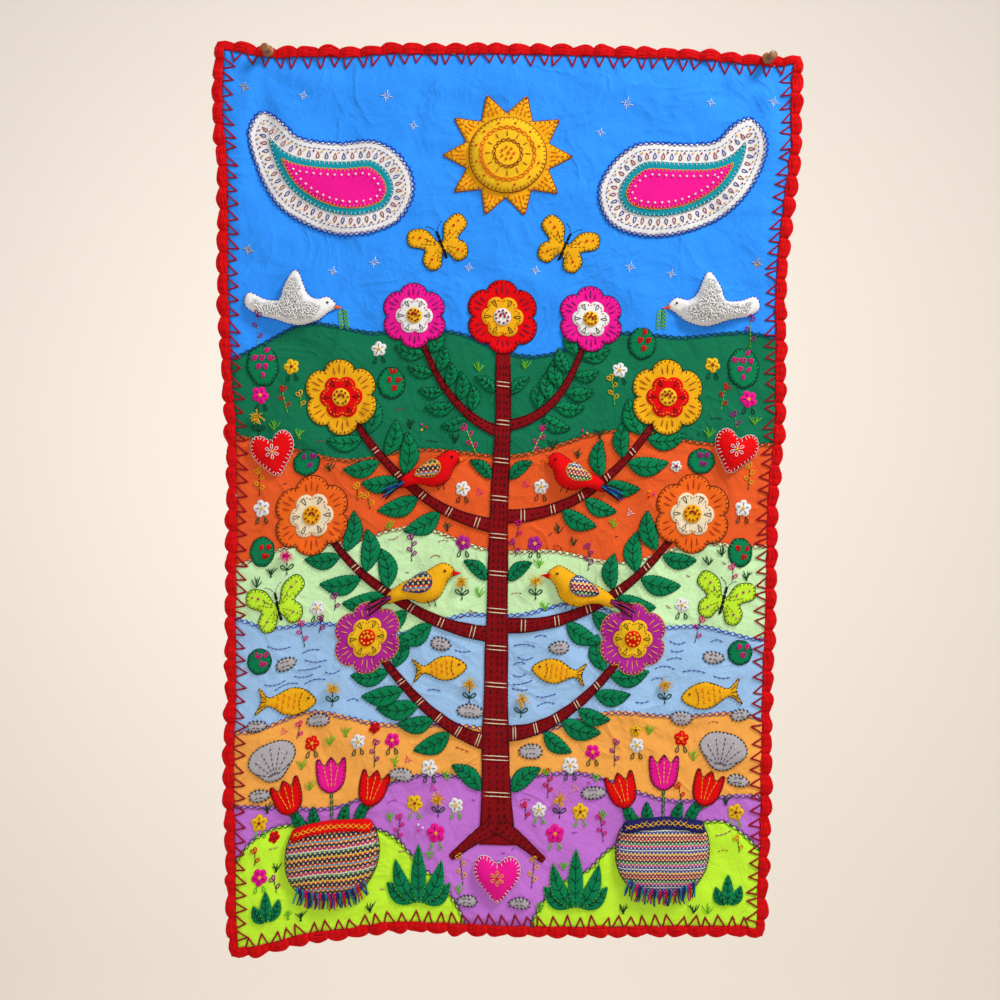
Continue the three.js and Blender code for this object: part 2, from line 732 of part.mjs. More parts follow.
// The crocheted band, worked all round in one piece.
{
  // Each section is at (u, v) on the hem, reaches w outwards along n, and a scallop's crest
  // stands at each corner.
  const sections = [];
  const sides = [
    { n: SCALLOPS.top, from: [0, 0], to: [1, 0], out: [0, 1] },
    { n: SCALLOPS.right, from: [1, 0], to: [1, 1], out: [1, 0] },
    { n: SCALLOPS.bottom, from: [1, 1], to: [0, 1], out: [0, -1] },
    { n: SCALLOPS.left, from: [0, 1], to: [0, 0], out: [-1, 0] },
  ];
  const towards = (p, q, share) => {
    const n = [mix(p[0], q[0], share), mix(p[1], q[1], share)],
      l = Math.hypot(...n);
    return [n[0] / l, n[1] / l];
  };
  sides.forEach((side, k) => {
    const before = sides[(k + 3) % 4].out,
      after = sides[(k + 1) % 4].out,
      count = side.n * BAND_STEPS;
    sections.push({
      u: side.from[0],
      v: side.from[1],
      n: towards(side.out, before, 0.5),
      w: BAND_CREST * 1.02,
    });
    for (let i = 0; i < count; i++) {
      const t = (i + 0.5) / count,
        u = mix(side.from[0], side.to[0], t),
        v = mix(side.from[1], side.to[1], t);
      const swell = Math.pow(Math.abs(Math.cos(Math.PI * side.n * t)), 0.8);
      let n = side.out;
      if (i === 0) n = towards(side.out, before, 0.2);
      if (i === count - 1) n = towards(side.out, after, 0.2);
      sections.push({ u, v, n, w: mix(BAND_VALLEY, BAND_CREST, swell) });
    }
  });
  const N = sections.length;
  // the hem as the cloth's facets have it
  const facet = (u, v, f) => {
    const along = v === 0 || v === 1 ? [u, GRID_U] : [v, GRID_V];
    const c = along[0] * along[1],
      i = Math.min(Math.floor(c + 1e-9), along[1] - 1),
      s = c - i;
    const at = (k) =>
      v === 0 || v === 1 ? f(k / along[1], v) : f(u, k / along[1]);
    const p = at(i),
      q = at(i + 1);
    return Array.isArray(p) ? p.map((x, j) => mix(x, q[j], s)) : mix(p, q, s);
  };
  const g = new THREE.TorusGeometry(10, 1, 4, N);
  const pos = g.attributes.position;
  for (let j = 0; j <= 4; j++)
    for (let i = 0; i <= N; i++) {
      const s = sections[i % N];
      const [x, z] = facet(s.u, s.v, hang);
      const h = facet(s.u, s.v, (u, v) =>
        standOff((u - 0.5) * CLOTH_W, v * CLOTH_H),
      );
      const corner = j % 4; // inner back, inner front, outer front, outer back
      const reach = corner === 1 || corner === 0 ? GAP + 0.1 : s.w;
      const mid = h + CLOTH_T / 2;
      const half = corner === 1 || corner === 0 ? BAND_T / 2 : BAND_T / 2 - 0.5;
      const y = corner === 0 || corner === 3 ? -(mid - Math.min(half, mid - 0.3)) : -(mid + half);
      pos.setXYZ(j * (N + 1) + i, x + s.n[0] * reach, y, z + s.n[1] * reach);
    }
  let band = solid(g);
  for (const hole of needleHoles) band = band.subtract(hole);
  add("crochet_edging", geometryOf(band), 0xd8101c);
}

export default hanging;
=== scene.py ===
import math

import bpy
import numpy as np
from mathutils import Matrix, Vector
from mathutils.geometry import delaunay_2d_cdt


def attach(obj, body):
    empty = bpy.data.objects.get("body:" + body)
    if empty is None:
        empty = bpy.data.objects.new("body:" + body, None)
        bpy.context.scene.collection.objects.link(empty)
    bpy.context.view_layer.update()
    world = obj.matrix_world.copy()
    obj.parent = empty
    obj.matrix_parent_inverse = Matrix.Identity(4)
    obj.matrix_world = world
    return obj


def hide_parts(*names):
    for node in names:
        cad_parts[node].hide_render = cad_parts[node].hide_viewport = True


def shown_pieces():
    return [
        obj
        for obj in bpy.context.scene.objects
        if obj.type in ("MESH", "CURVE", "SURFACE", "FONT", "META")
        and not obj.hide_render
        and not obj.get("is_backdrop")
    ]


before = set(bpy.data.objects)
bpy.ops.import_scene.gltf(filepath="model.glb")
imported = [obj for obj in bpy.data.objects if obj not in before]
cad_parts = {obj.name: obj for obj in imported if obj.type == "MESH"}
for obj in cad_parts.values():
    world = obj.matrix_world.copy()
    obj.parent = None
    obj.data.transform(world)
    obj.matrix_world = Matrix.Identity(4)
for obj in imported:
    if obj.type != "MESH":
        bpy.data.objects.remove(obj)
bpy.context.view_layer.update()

# Millimetres on the cloth are (a, b): a from its middle line to the right, b down from its top
# hem, and h is the height in front of its face. The row frame is in metres.

# ------------------------------------------------------------------ the cloth, as in the CAD
CLOTH_W, CLOTH_H, CLOTH_T = 560.0, 885.0, 1.6
BAND_CREST, BAND_VALLEY = 10.8, 6.8
SCALLOPS = {"top": 27, "right": 42, "bottom": 26, "left": 42}
PIN_HEAD_L = 14.5
# x, z, lean to the right, lean up, seat
PINS = {
    "left": (-248.0, 3.8, -9.5, 2.8, 5.3),
    "right": (248.0, -3.8, 22.0, 3.6, 6.6),
}
SIDE_V = [0, 0.03, 0.08, 0.12, 0.16, 0.25, 0.35, 0.42, 0.52, 0.62, 0.72, 0.8, 0.88, 0.96, 1]
SIDE_LEFT = [-293.5, -294.5, -294.5, -291.0, -289.5, -289.5, -286.5, -282.0, -280.5, -281.5, -281.5, -283.5, -282.0, -280.5, -278.5]
SIDE_RIGHT = [276.5, 274.0, 273.5, 271.5, 266.5, 259.0, 258.0, 256.5, 249.5, 248.0, 244.5, 243.5, 242.0, 239.5, 238.5]
END_U = [0, 0.05, 0.09, 0.14, 0.22, 0.3, 0.4, 0.5, 0.6, 0.72, 0.84, 0.92, 0.97, 1]
END_TOP = [7.2, 2.2, -0.8, -0.3, -0.8, 2.2, 2.2, 2.2, 0.7, -1.3, -3.8, -7.8, -9.8, -6.8]
END_BOTTOM = [-889.8, -885.8, -880.3, -874.3, -869.3, -863.3, -864.3, -866.8, -867.8, -867.8, -867.3, -867.3, -867.8, -870.8]
# a, b, angle, long, wide, rise
FOLDS = [
    (-268, 150, 90, 120, 16, 3.0),
    (-238, 62, 86, 60, 14, -1.6),
    (-150, 40, 12, 90, 18, 1.8),
    (262, 105, 92, 80, 15, 2.8),
    (205, 55, -24, 80, 17, 1.8),
    (20, 28, 2, 150, 20, 2.2),
    (-262, 400, 84, 90, 18, -2.2),
    (250, 300, 96, 90, 16, -2.0),
    (244, 468, 88, 60, 15, 2.4),
    (-200, 560, 20, 90, 26, 2.0),
    (110, 640, -32, 110, 26, 2.0),
    (-225, 735, 38, 80, 20, 2.4),
    (262, 720, 90, 90, 16, 2.2),
    (-262, 850, 35, 70, 34, 4.5),
    (40, 860, 0, 70, 24, 2.6),
    (225, 858, -30, 60, 26, 2.8),
]


def along(knots, values, t):
    """A smooth curve through a table's rows."""
    k, v = np.array(knots, float), np.array(values, float)
    t = np.asarray(t, float)
    n = len(k)
    lo, hi = np.maximum(np.arange(n) - 1, 0), np.minimum(np.arange(n) + 1, n - 1)
    m = (v[hi] - v[lo]) / (k[hi] - k[lo])
    i = np.clip(np.searchsorted(k, t, side="left") - 1, 0, n - 2)
    d = k[i + 1] - k[i]
    s = (t - k[i]) / d
    s2, s3 = s * s, s * s * s
    return (
        v[i] * (2 * s3 - 3 * s2 + 1)
        + v[i + 1] * (3 * s2 - 2 * s3)
        + d * m[i] * (s3 - 2 * s2 + s)
        + d * m[i + 1] * (s3 - s2)
    )


def hang(u, v):
    """(u, v) from 0 to 1 on the cloth gives x and z, in mm."""
    u, v = np.asarray(u, float), np.asarray(v, float)
    tl, tr = (SIDE_LEFT[0], END_TOP[0]), (SIDE_RIGHT[0], END_TOP[-1])
    bl, br = (SIDE_LEFT[-1], END_BOTTOM[0]), (SIDE_RIGHT[-1], END_BOTTOM[-1])
    left = (along(SIDE_V, SIDE_LEFT, v), tl[1] + (bl[1] - tl[1]) * v)
    right = (along(SIDE_V, SIDE_RIGHT, v), tr[1] + (br[1] - tr[1]) * v)
    top = (tl[0] + (tr[0] - tl[0]) * u, along(END_U, END_TOP, u))
    bottom = (bl[0] + (br[0] - bl[0]) * u, along(END_U, END_BOTTOM, u))
    out = []
    for k in (0, 1):
        flat = (tl[k] * (1 - u) + tr[k] * u) * (1 - v) + (bl[k] * (1 - u) + br[k] * u) * v
        out.append(top[k] * (1 - v) + bottom[k] * v + left[k] * (1 - u) + right[k] * u - flat)
    return out


def stand_off(a, b):
    """How far the cloth's back stands off the plane behind it, in mm."""
    a, b = np.asarray(a, float), np.asarray(b, float)
    u = np.clip(a / CLOTH_W + 0.5, 0, 1)
    h = 2.2 + 3.4 * np.sqrt(np.maximum(np.sin(np.pi * u), 0)) * (1 - np.exp(-np.maximum(b, 0) / 90))
    for fa, fb, angle, long, wide, rise in FOLDS:
        t = math.radians(angle)
        dx, dy = a - fa, -(b - fb)
        s = (dx * math.cos(t) + dy * math.sin(t)) / long
        w = (-dx * math.sin(t) + dy * math.cos(t)) / wide
        h = h + rise * np.exp(-s * s - w * w)
    h = np.maximum(h, 1.2)
    x, z = hang(a / CLOTH_W + 0.5, b / CLOTH_H)
    for px, pz, *_ in PINS.values():
        near = np.exp(-((x - px) ** 2 + (z - pz) ** 2) / 42.0**2)
        h = h * (1 - near) + 0.9 * near
    return h


_waves = []
_r = np.random.default_rng(11)
for _k in range(30):
    _t = _r.uniform(0, math.pi)
    _l = _r.uniform(24, 110)
    _waves.append((math.cos(_t) * 2 * math.pi / _l, math.sin(_t) * 2 * math.pi / _l, _r.uniform(0, 6.28), 0.22 * (_l / 60)))
# short soft creases: a, b, angle, long, wide, rise
_creases = []
for _k in range(190):
    _t = _r.normal(0, 26) + (90 if _r.uniform() < 0.35 else 0)
    _creases.append((_r.uniform(-275, 275), _r.uniform(5, 880), math.radians(_t), _r.uniform(18, 66), _r.uniform(4.2, 8.0), _r.uniform(0.4, 1.0) * (1 if _r.uniform() < 0.6 else -1)))
for _a, _b, _t, _l, _w, _h in (
    (-248, 32, 88, 24, 4.4, 1.0), (-196, 17, 4, 55, 5.0, 0.9), (-170, 24, -4, 42, 4.6, 0.7), (-212, 50, 3, 34, 4.6, 0.7),
    (-262, 92, 88, 60, 5.6, 1.0), (-244, 134, 92, 50, 6.4, 0.9), (-226, 152, 97, 30, 5.0, 0.8), (-120, 30, -8, 36, 4.6, 0.6),
    (222, 34, 84, 40, 4.8, 1.0), (233, 30, 88, 34, 4.4, 0.9), (246, 64, 91, 60, 4.8, 1.0), (257, 96, 90, 60, 5.0, 1.0),
    (120, 30, -24, 32, 5.0, 0.8), (150, 44, -30, 24, 4.8, 0.7), (262, 200, 92, 60, 5.0, 0.9), (-30, 40, 5, 50, 5.5, 0.6),
):
    _creases.append((_a, _b, math.radians(_t), _l, _w, _h))


def unevenness(a, b):
    """Small unevenness of the hung cloth, with pulls from the pins and at the hem, in mm."""
    a, b = np.asarray(a, float), np.asarray(b, float)
    h = 0.0 * a
    for kx, ky, ph, amp in _waves:
        h = h + amp * np.sin(kx * a + ky * b + ph)
    for ca, cb, t, long, wide, rise in _creases:
        da, db = a - ca, b - cb
        s = (da * math.cos(t) + db * math.sin(t)) / long
        w = (-da * math.sin(t) + db * math.cos(t) + 0.10 * long * s * s) / wide
        h = h + rise * np.exp(-s * s - w * w)
    edge = np.minimum(np.minimum(a + 280, 280 - a), np.minimum(b, 885 - b))
    s = np.where(np.minimum(a + 280, 280 - a) < np.minimum(b, 885 - b), b, a)
    h = h * np.clip(edge / 30, 0.25, 1) + 0.8 * np.sin(2 * np.pi * s / 27.0 + 0.7 * np.sin(s / 31.0)) * np.exp(-np.maximum(edge, 0) / 16)
    for pa, pb, sign in ((-248, 6, 1), (250, 8, -1)):
        da, db = (a - pa) * sign, b - pb
        r = np.sqrt(da * da + db * db) + 1e-6
        th = np.arctan2(db, da)
        fan = np.cos(9 * (th - 0.35)) * np.exp(-((r - 55) / 50) ** 2)
        h = h + 1.15 * fan * (db > -4) * np.clip(r / 20, 0, 1)
    return np.maximum(h, -1.6)


PUCKER = unevenness(*np.meshgrid(np.arange(-300, 301, 1.5), np.arange(-24, 910, 1.5)))


def pucker(a, b):
    """The unevenness, read from its table."""
    x = np.clip((np.asarray(a, float) + 300) / 1.5, 0, PUCKER.shape[1] - 1.001)
    y = np.clip((np.asarray(b, float) + 24) / 1.5, 0, PUCKER.shape[0] - 1.001)
    i, j = x.astype(int), y.astype(int)
    s, t = x - i, y - j
    return (PUCKER[j, i] * (1 - s) + PUCKER[j, i + 1] * s) * (1 - t) + (PUCKER[j + 1, i] * (1 - s) + PUCKER[j + 1, i + 1] * s) * t


def place(a, b, h):
    """Points of the row frame, in metres."""
    a, b = np.asarray(a, float), np.asarray(b, float)
    x, z = hang(a / CLOTH_W + 0.5, b / CLOTH_H)
    y = -(stand_off(a, b) + CLOTH_T + pucker(a, b) + h)
    return np.stack([x, y, z], -1) / 1000.0


# ------------------------------------------------------------------ the height map of the work
A0, B0, NA, NB = -292, -12, 585, 910
H = np.zeros((NB, NA))
TAKEN = np.zeros((NB, NA), bool)  # where felt already lies


def take(p, r):
    """Marks a square about p as taken."""
    i, j = int(p[0] - A0), int(p[1] - B0)
    TAKEN[max(j - int(r), 0) : j + int(r) + 1, max(i - int(r), 0) : i + int(r) + 1] = True


def free(p, r):
    """Whether nothing lies within r of p, and p isn't at the hem."""
    if abs(p[0]) + r > 267 or p[1] - r < 14 or p[1] + r > 872:
        return False
    i, j = int(p[0] - A0), int(p[1] - B0)
    r = int(math.ceil(r))
    return not TAKEN[j - r : j + r + 1, i - r : i + r + 1].any()


def near_free(p, r, reach=26):
    """The nearest free place to p, or None."""
    if free(p, r):
        return np.array(p, float)
    for ring in range(3, reach, 3):
        for k in range(14):
            t = 2 * math.pi * k / 14 + ring
            q = np.array([p[0] + ring * math.cos(t), p[1] + ring * math.sin(t)])
            if free(q, r):
                return q
    return None



def h_at(a, b):
    x = np.clip(np.asarray(a, float) - A0, 0, NA - 1.001)
    y = np.clip(np.asarray(b, float) - B0, 0, NB - 1.001)
    i, j = x.astype(int), y.astype(int)
    s, t = x - i, y - j
    return (
        H[j, i] * (1 - s) * (1 - t) + H[j, i + 1] * s * (1 - t) + H[j + 1, i] * (1 - s) * t + H[j + 1, i + 1] * s * t
    )


def inside(poly, x, y):
    """Even-odd test of points in a closed outline."""
    px, py = poly[:, 0], poly[:, 1]
    qx, qy = np.roll(px, -1), np.roll(py, -1)
    r = np.zeros(x.shape, bool)
    for i in range(len(px)):
        if py[i] == qy[i]:
            continue
        c = (py[i] > y) != (qy[i] > y)
        if c.any():
            r ^= c & (x < (qx[i] - px[i]) * (y - py[i]) / (qy[i] - py[i]) + px[i])
    return r


def seg_distance(p, s0, s1):
    """Least distance of each point to any of the segments."""
    out = np.full(len(p), 1e9)
    d = s1 - s0
    l2 = np.maximum((d**2).sum(1), 1e-12)
    for k in range(0, len(p), 4000):
        q = p[k : k + 4000]
        w = q[:, None, :] - s0[None]
        t = np.clip((w * d[None]).sum(2) / l2[None], 0, 1)
        out[k : k + 4000] = np.sqrt(((w - t[..., None] * d[None]) ** 2).sum(2).min(1))
    return out


class Field:
    """A window of the height map round an outline: what a new piece rests on, and its mask."""

    def __init__(self, polys, pad=8):
        pts = np.concatenate(polys)
        self.i0 = int(max(pts[:, 0].min() - A0 - pad, 0))
        self.i1 = int(min(pts[:, 0].max() - A0 + pad, NA))
        self.j0 = int(max(pts[:, 1].min() - B0 - pad, 0))
        self.j1 = int(min(pts[:, 1].max() - B0 + pad, NB))
        self.x, self.y = np.meshgrid(np.arange(self.i0, self.i1) + A0, np.arange(self.j0, self.j1) + B0)
        self.mask = np.zeros(self.x.shape, bool)
        for p in polys:
            self.mask |= inside(p, self.x.astype(float) + 1e-4, self.y.astype(float) + 1e-4)
        base = H[self.j0 : self.j1, self.i0 : self.i1].copy()
        for axis in (0, 1):
            m = base.copy()
            for k in (-2, -1, 1, 2):
                m = np.maximum(m, np.roll(base, k, axis))
            base = m
        for axis in (0, 1):
            base = sum(np.roll(base, k, axis) for k in (-2, -1, 0, 1, 2)) / 5
        self.base = base

    def sample(self, grid, a, b):
        x = np.clip(np.asarray(a) - A0 - self.i0, 0, grid.shape[1] - 1.001)
        y = np.clip(np.asarray(b) - B0 - self.j0, 0, grid.shape[0] - 1.001)
        i, j = x.astype(int), y.astype(int)
        s, t = x - i, y - j
        return (
            grid[j, i] * (1 - s) * (1 - t) + grid[j, i + 1] * s * (1 - t) + grid[j + 1, i] * (1 - s) * t + grid[j + 1, i + 1] * s * t
        )

    def inflate(self):
        """A smooth swelling of the mask, 0 at its edge and 1 at its fullest."""
        m = self.mask.astype(float)
        u = np.zeros(m.shape)
        for _ in range(700):
            u = (np.roll(u, 1, 0) + np.roll(u, -1, 0) + np.roll(u, 1, 1) + np.roll(u, -1, 1) + 1) / 4 * m
        return np.sqrt(u / max(u.max(), 1e-9))

    def write(self, height):
        w = H[self.j0 : self.j1, self.i0 : self.i1]
        w[self.mask] = np.maximum(w, self.base + height)[self.mask]


# ------------------------------------------------------------------ meshes
def make_mesh(name, verts, faces, attrs=None, mat=None, smooth=True):
    """faces is a list of arrays, each (count, corners)."""
    me = bpy.data.meshes.new(name)
    verts = np.asarray(verts, np.float32)
    faces = [np.asarray(f, np.int32) for f in faces if len(f)]
    loops = np.concatenate([f.ravel() for f in faces])
    totals = np.concatenate([np.full(len(f), f.shape[1], np.int32) for f in faces])
    me.vertices.add(len(verts))
    me.vertices.foreach_set("co", verts.ravel())
    me.loops.add(len(loops))
    me.loops.foreach_set("vertex_index", loops)
    me.polygons.add(len(totals))
    me.polygons.foreach_set("loop_start", np.concatenate([[0], np.cumsum(totals)[:-1]]).astype(np.int32))
    me.polygons.foreach_set("loop_total", totals)
    me.polygons.foreach_set("use_smooth", np.full(len(totals), smooth))
    me.update(calc_edges=True)
    me.validate()
    for key, value in (attrs or {}).items():
        at = me.attributes.new(key, "FLOAT_VECTOR", "POINT")
        at.data.foreach_set("vector", np.asarray(value, np.float32).ravel())
    ob = bpy.data.objects.new(name, me)
    bpy.context.scene.collection.objects.link(ob)
    if mat:
        me.materials.append(mat)
    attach(ob, "root")
    return ob


def resample(pts, spacing, closed=True):
    pts = np.asarray(pts, float)
    q = np.vstack([pts, pts[:1]]) if closed else pts
    d = np.sqrt((np.diff(q, axis=0) ** 2).sum(1))
    s = np.concatenate([[0], np.cumsum(d)])
    n = max(int(round(s[-1] / spacing)), 3 if closed else 1)
    t = np.linspace(0, s[-1], n + 1)
    out = np.stack([np.interp(t, s, q[:, k]) for k in range(q.shape[1])], 1)
    return out[:-1] if closed else out


def smooth(points, each=8, closed=True):
    """A smooth curve through points."""
    p = np.asarray(points, float)
    n = len(p)
    out = []
    for i in range(n if closed else n - 1):
        if closed:
            p0, p1, p2, p3 = p[(i - 1) % n], p[i], p[(i + 1) % n], p[(i + 2) % n]
        else:
            p0, p1, p2, p3 = p[max(i - 1, 0)], p[i], p[i + 1], p[min(i + 2, n - 1)]
        t0 = 0.0
        t1 = t0 + max(np.linalg.norm(p1 - p0), 1e-6) ** 0.5
        t2 = t1 + max(np.linalg.norm(p2 - p1), 1e-6) ** 0.5
        t3 = t2 + max(np.linalg.norm(p3 - p2), 1e-6) ** 0.5
        for t in np.linspace(t1, t2, each, endpoint=False):
            a1 = (t1 - t) / (t1 - t0) * p0 + (t - t0) / (t1 - t0) * p1
            a2 = (t2 - t) / (t2 - t1) * p1 + (t - t1) / (t2 - t1) * p2
            a3 = (t3 - t) / (t3 - t2) * p2 + (t - t2) / (t3 - t2) * p3
            b1 = (t2 - t) / (t2 - t0) * a1 + (t - t0) / (t2 - t0) * a2
            b2 = (t3 - t) / (t3 - t1) * a2 + (t - t1) / (t3 - t1) * a3
            out.append((t2 - t) / (t2 - t1) * b1 + (t - t1) / (t2 - t1) * b2)
    if not closed:
        out.append(p[-1])
    return np.array(out)


def spot(row, pts):
    """Points about a motif's middle, up being positive, to (a, b) on the cloth."""
    pts = np.atleast_2d(np.asarray(pts, float))
    t = math.radians(row.get("turn", 0))
    k = row.get("scale", 1)
    px = pts[:, 0] * k * (-1 if row.get("mirror") else 1)
    py = pts[:, 1] * k
    return np.stack(
        [row["a"] + px * math.cos(t) - py * math.sin(t), row["b"] - (px * math.sin(t) + py * math.cos(t))], 1
    )


seed = [100]


def rng():
    seed[0] += 1
    return np.random.default_rng(seed[0])


class Pile:
    """Pieces of one stuff that are joined into one mesh at the end."""

    def __init__(self):
        self.v, self.f, self.loc, self.n = [], [], [], 0

    def add(self, v, faces, loc):
        self.v.append(v)
        self.loc.append(loc)
        self.f += [np.asarray(f) + self.n for f in faces if len(f)]
        self.n += len(v)

    def build(self, name, mat, slot):
        ob = make_mesh(name, np.concatenate(self.v), self.f, {"loc": np.concatenate(self.loc)}, mat)
        return ob


def felt(polys, thick, row=None, rise=0, step=3.2, edge=1.6, gap=0.12, lift=0.0, takes=True):
    """A cut piece on the work. polys are outlines in (a, b), which join where they overlap. rise is the height of its stuffing.
    Returns vertices, faces, the loc attribute and its flat area in mm2."""
    g = rng()
    polys = [resample(p, edge) for p in polys]
    field = Field(polys)
    if takes:
        TAKEN[field.j0 : field.j1, field.i0 : field.i1] |= field.mask
    swell = field.inflate() * rise if rise else None
    allp = np.concatenate(polys)
    lo, hi = allp.min(0), allp.max(0)
    xs = np.arange(lo[0], hi[0] + step, step)
    ys = np.arange(lo[1], hi[1] + step, step * 0.866)
    gx, gy = np.meshgrid(xs, ys)
    gx = gx + (np.arange(len(ys)) % 2)[:, None] * step / 2
    p = np.stack([gx.ravel(), gy.ravel()], 1)
    m = np.zeros(len(p), bool)
    for q in polys:
        m |= inside(q, p[:, 0], p[:, 1])
    p = p[m]
    near = np.full(len(p), 1e9)
    for q in polys:
        near = np.minimum(near, seg_distance(p, q, np.roll(q, -1, 0)))
    p = p[near > step * 0.45]
    loops, verts, k = [], [], 0
    for q in polys:
        loops.append(list(range(k, k + len(q))))
        verts += [Vector(c) for c in q]
        k += len(q)
    verts += [Vector(c) for c in p]
    edges = [(l[i], l[(i + 1) % len(l)]) for l in loops for i in range(len(l))]
    v, _, f, _, _, _ = delaunay_2d_cdt(verts, edges, [], 0, 1e-5)
    v = np.array([tuple(c) for c in v])
    f = np.array(f)
    c = v[f].mean(1)
    keep = np.zeros(len(f), bool)
    for q in polys:
        keep |= inside(q, c[:, 0], c[:, 1])
    f = f[keep]
    used = np.unique(f)
    remap = np.full(len(v), -1)
    remap[used] = np.arange(len(used))
    v, f = v[used], remap[f]
    e1, e2 = v[f[:, 1]] - v[f[:, 0]], v[f[:, 2]] - v[f[:, 0]]
    area = e1[:, 0] * e2[:, 1] - e1[:, 1] * e2[:, 0]
    f[area > 0] = f[area > 0][:, ::-1]
    flat_area = np.abs(area).sum() / 2
    he = np.concatenate([f[:, [0, 1]], f[:, [1, 2]], f[:, [2, 0]]])
    key = he[:, 0].astype(np.int64) * len(v) + he[:, 1]
    rev = he[:, 1].astype(np.int64) * len(v) + he[:, 0]
    rim = he[~np.isin(key, rev)]
    d = seg_distance(v, v[rim[:, 0]], v[rim[:, 1]])
    base = field.sample(field.base, v[:, 0], v[:, 1]) + gap + lift
    soft = thick * (0.62 + 0.38 * np.sqrt(np.clip(d / 1.7, 0, 1)))
    lump = 0.09 * thick * np.sin(v[:, 0] * 0.31 + g.uniform(0, 6)) * np.sin(v[:, 1] * 0.27 + g.uniform(0, 6))
    top = base + soft + lump * np.clip(d / 3, 0, 1)
    if rise:
        top = top + field.sample(swell, v[:, 0], v[:, 1]) * (1 + 0.03 * np.sin(v[:, 0] * 0.21) * np.cos(v[:, 1] * 0.19))
        field.write(gap + lift + thick + swell)
    else:
        field.write(gap + lift + thick)
    n = len(v)
    front, back = place(v[:, 0], v[:, 1], top), place(v[:, 0], v[:, 1], base)
    # corners run so that the face looks to the front
    quads = np.stack([rim[:, 1], rim[:, 0], rim[:, 0] + n, rim[:, 1] + n], 1)
    if row is None:
        lx, ly = v[:, 0], -v[:, 1]
    else:
        t = math.radians(row.get("turn", 0))
        dx, dy = v[:, 0] - row["a"], -(v[:, 1] - row["b"])
        lx = (dx * math.cos(t) + dy * math.sin(t)) * (-1 if row.get("mirror") else 1) / row.get("scale", 1)
        ly = (-dx * math.sin(t) + dy * math.cos(t)) / row.get("scale", 1)
    loc = np.stack([lx, ly, d], 1)
    return (
        np.concatenate([front, back]),
        [f, f[:, ::-1] + n, quads],
        np.concatenate([loc, loc]),
        flat_area,
    )


def piece(name, polys, thick, mat, slot, node=None, rests=("ground_cloth",), row=None, rise=0, **more):
    v, f, loc, area = felt(polys, thick, row, rise, **more)
    ob = make_mesh(name, v, f, {"loc": loc}, mat)
    if node:
        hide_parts(node)
    return ob


# ------------------------------------------------------------------ threads and yarns
class Threads:
    """Tubes of one colour, joined into one mesh. A tube is a line of points and their radii, in mm."""

    def __init__(self):
        self.groups = {}

    def add(self, pts, radii, ref=(0, -1, 0), sides=4):
        """pts are in the row frame, in metres; radii in mm."""
        self.groups.setdefault((len(pts), sides), []).append((pts, np.asarray(radii) / 1000.0, ref))

    def count(self):
        return sum(len(v) * ((k[0] - 1) * k[1] * 2 + 2 * (k[1] - 2)) for k, v in self.groups.items())

    def build(self, name, mat, slot):
        V, F, A, base = [], [], [], 0
        for (n, sides), items in sorted(self.groups.items()):
            P = np.stack([i[0] for i in items])
            R = np.stack([np.broadcast_to(i[1], (n,)) for i in items])
            ref = np.stack([np.asarray(i[2], float) for i in items])[:, None, :]
            T = np.gradient(P, axis=1)
            T /= np.maximum(np.linalg.norm(T, axis=2, keepdims=True), 1e-12)
            B = np.cross(T, np.broadcast_to(ref, T.shape))
            bl = np.linalg.norm(B, axis=2, keepdims=True)
            alt = np.cross(T, np.broadcast_to(np.array([0.31, 0.2, 0.93]), T.shape))
            B = np.where(bl < 0.05, alt, B)
            B /= np.maximum(np.linalg.norm(B, axis=2, keepdims=True), 1e-12)
            N = np.cross(B, T)
            th = 2 * np.pi * np.arange(sides) / sides
            c, s = np.cos(th), np.sin(th)
            ring = P[:, :, None, :] + R[:, :, None, None] * (c[None, None, :, None] * N[:, :, None, :] + s[None, None, :, None] * B[:, :, None, :])
            m = len(items)
            length = np.concatenate([np.zeros((m, 1)), np.cumsum(np.linalg.norm(np.diff(P, axis=1), axis=2), 1)], 1) * 1000
            att = np.stack(
                [
                    np.broadcast_to(length[:, :, None], (m, n, sides)),
                    np.broadcast_to(c[None, None], (m, n, sides)),
                    np.broadcast_to(s[None, None], (m, n, sides)),
                ],
                -1,
            )
            V.append(ring.reshape(-1, 3))
            A.append(att.reshape(-1, 3))
            idx = (np.arange(m * n * sides) + base).reshape(m, n, sides)
            nxt = np.roll(idx, -1, 2)
            F.append(np.stack([idx[:, :-1], nxt[:, :-1], nxt[:, 1:], idx[:, 1:]], -1).reshape(-1, 4))
            F.append(idx[:, 0, ::-1].reshape(-1, sides))
            F.append(idx[:, -1].reshape(-1, sides))
            base += m * n * sides
        ob = make_mesh(name, np.concatenate(V), F, {"tuv": np.concatenate(A)}, mat)
        return ob


threads = {}


UNDER = []  # what shows on the back: colour, line, step, gap


def th(colour):
    return threads.setdefault(colour, Threads())


def stitch(colour, p, q, r=0.55, arch=0.25, n=4, bow=0.0, sides=3):
    """One stitch from p to q, in (a, b). It follows the work and dips in at both ends."""
    p, q = np.asarray(p, float), np.asarray(q, float)
    d = q - p
    l = max(np.hypot(*d), 1e-6)
    if l < 3.9:
        n = 3
    t = np.linspace(0, 1, n)
    side = np.array([-d[1], d[0]]) / l
    ab = p + d * t[:, None] + side * (bow * np.sin(np.pi * t))[:, None]
    h = h_at(ab[:, 0], ab[:, 1])
    if n > 2:
        h[1:-1] = np.maximum(h[1:-1], (h[:-2] + h[2:]) / 2)
    lift = np.sin(np.pi * t)
    height = h + r * (0.72 * np.minimum(lift * 2.2, 1)) + arch * lift - 0.35 * r * (lift < 0.05)
    rad = r * np.where((t == 0) | (t == 1), 0.62, 1.0)
    th(colour).add(place(ab[:, 0], ab[:, 1], height), rad, sides=sides)


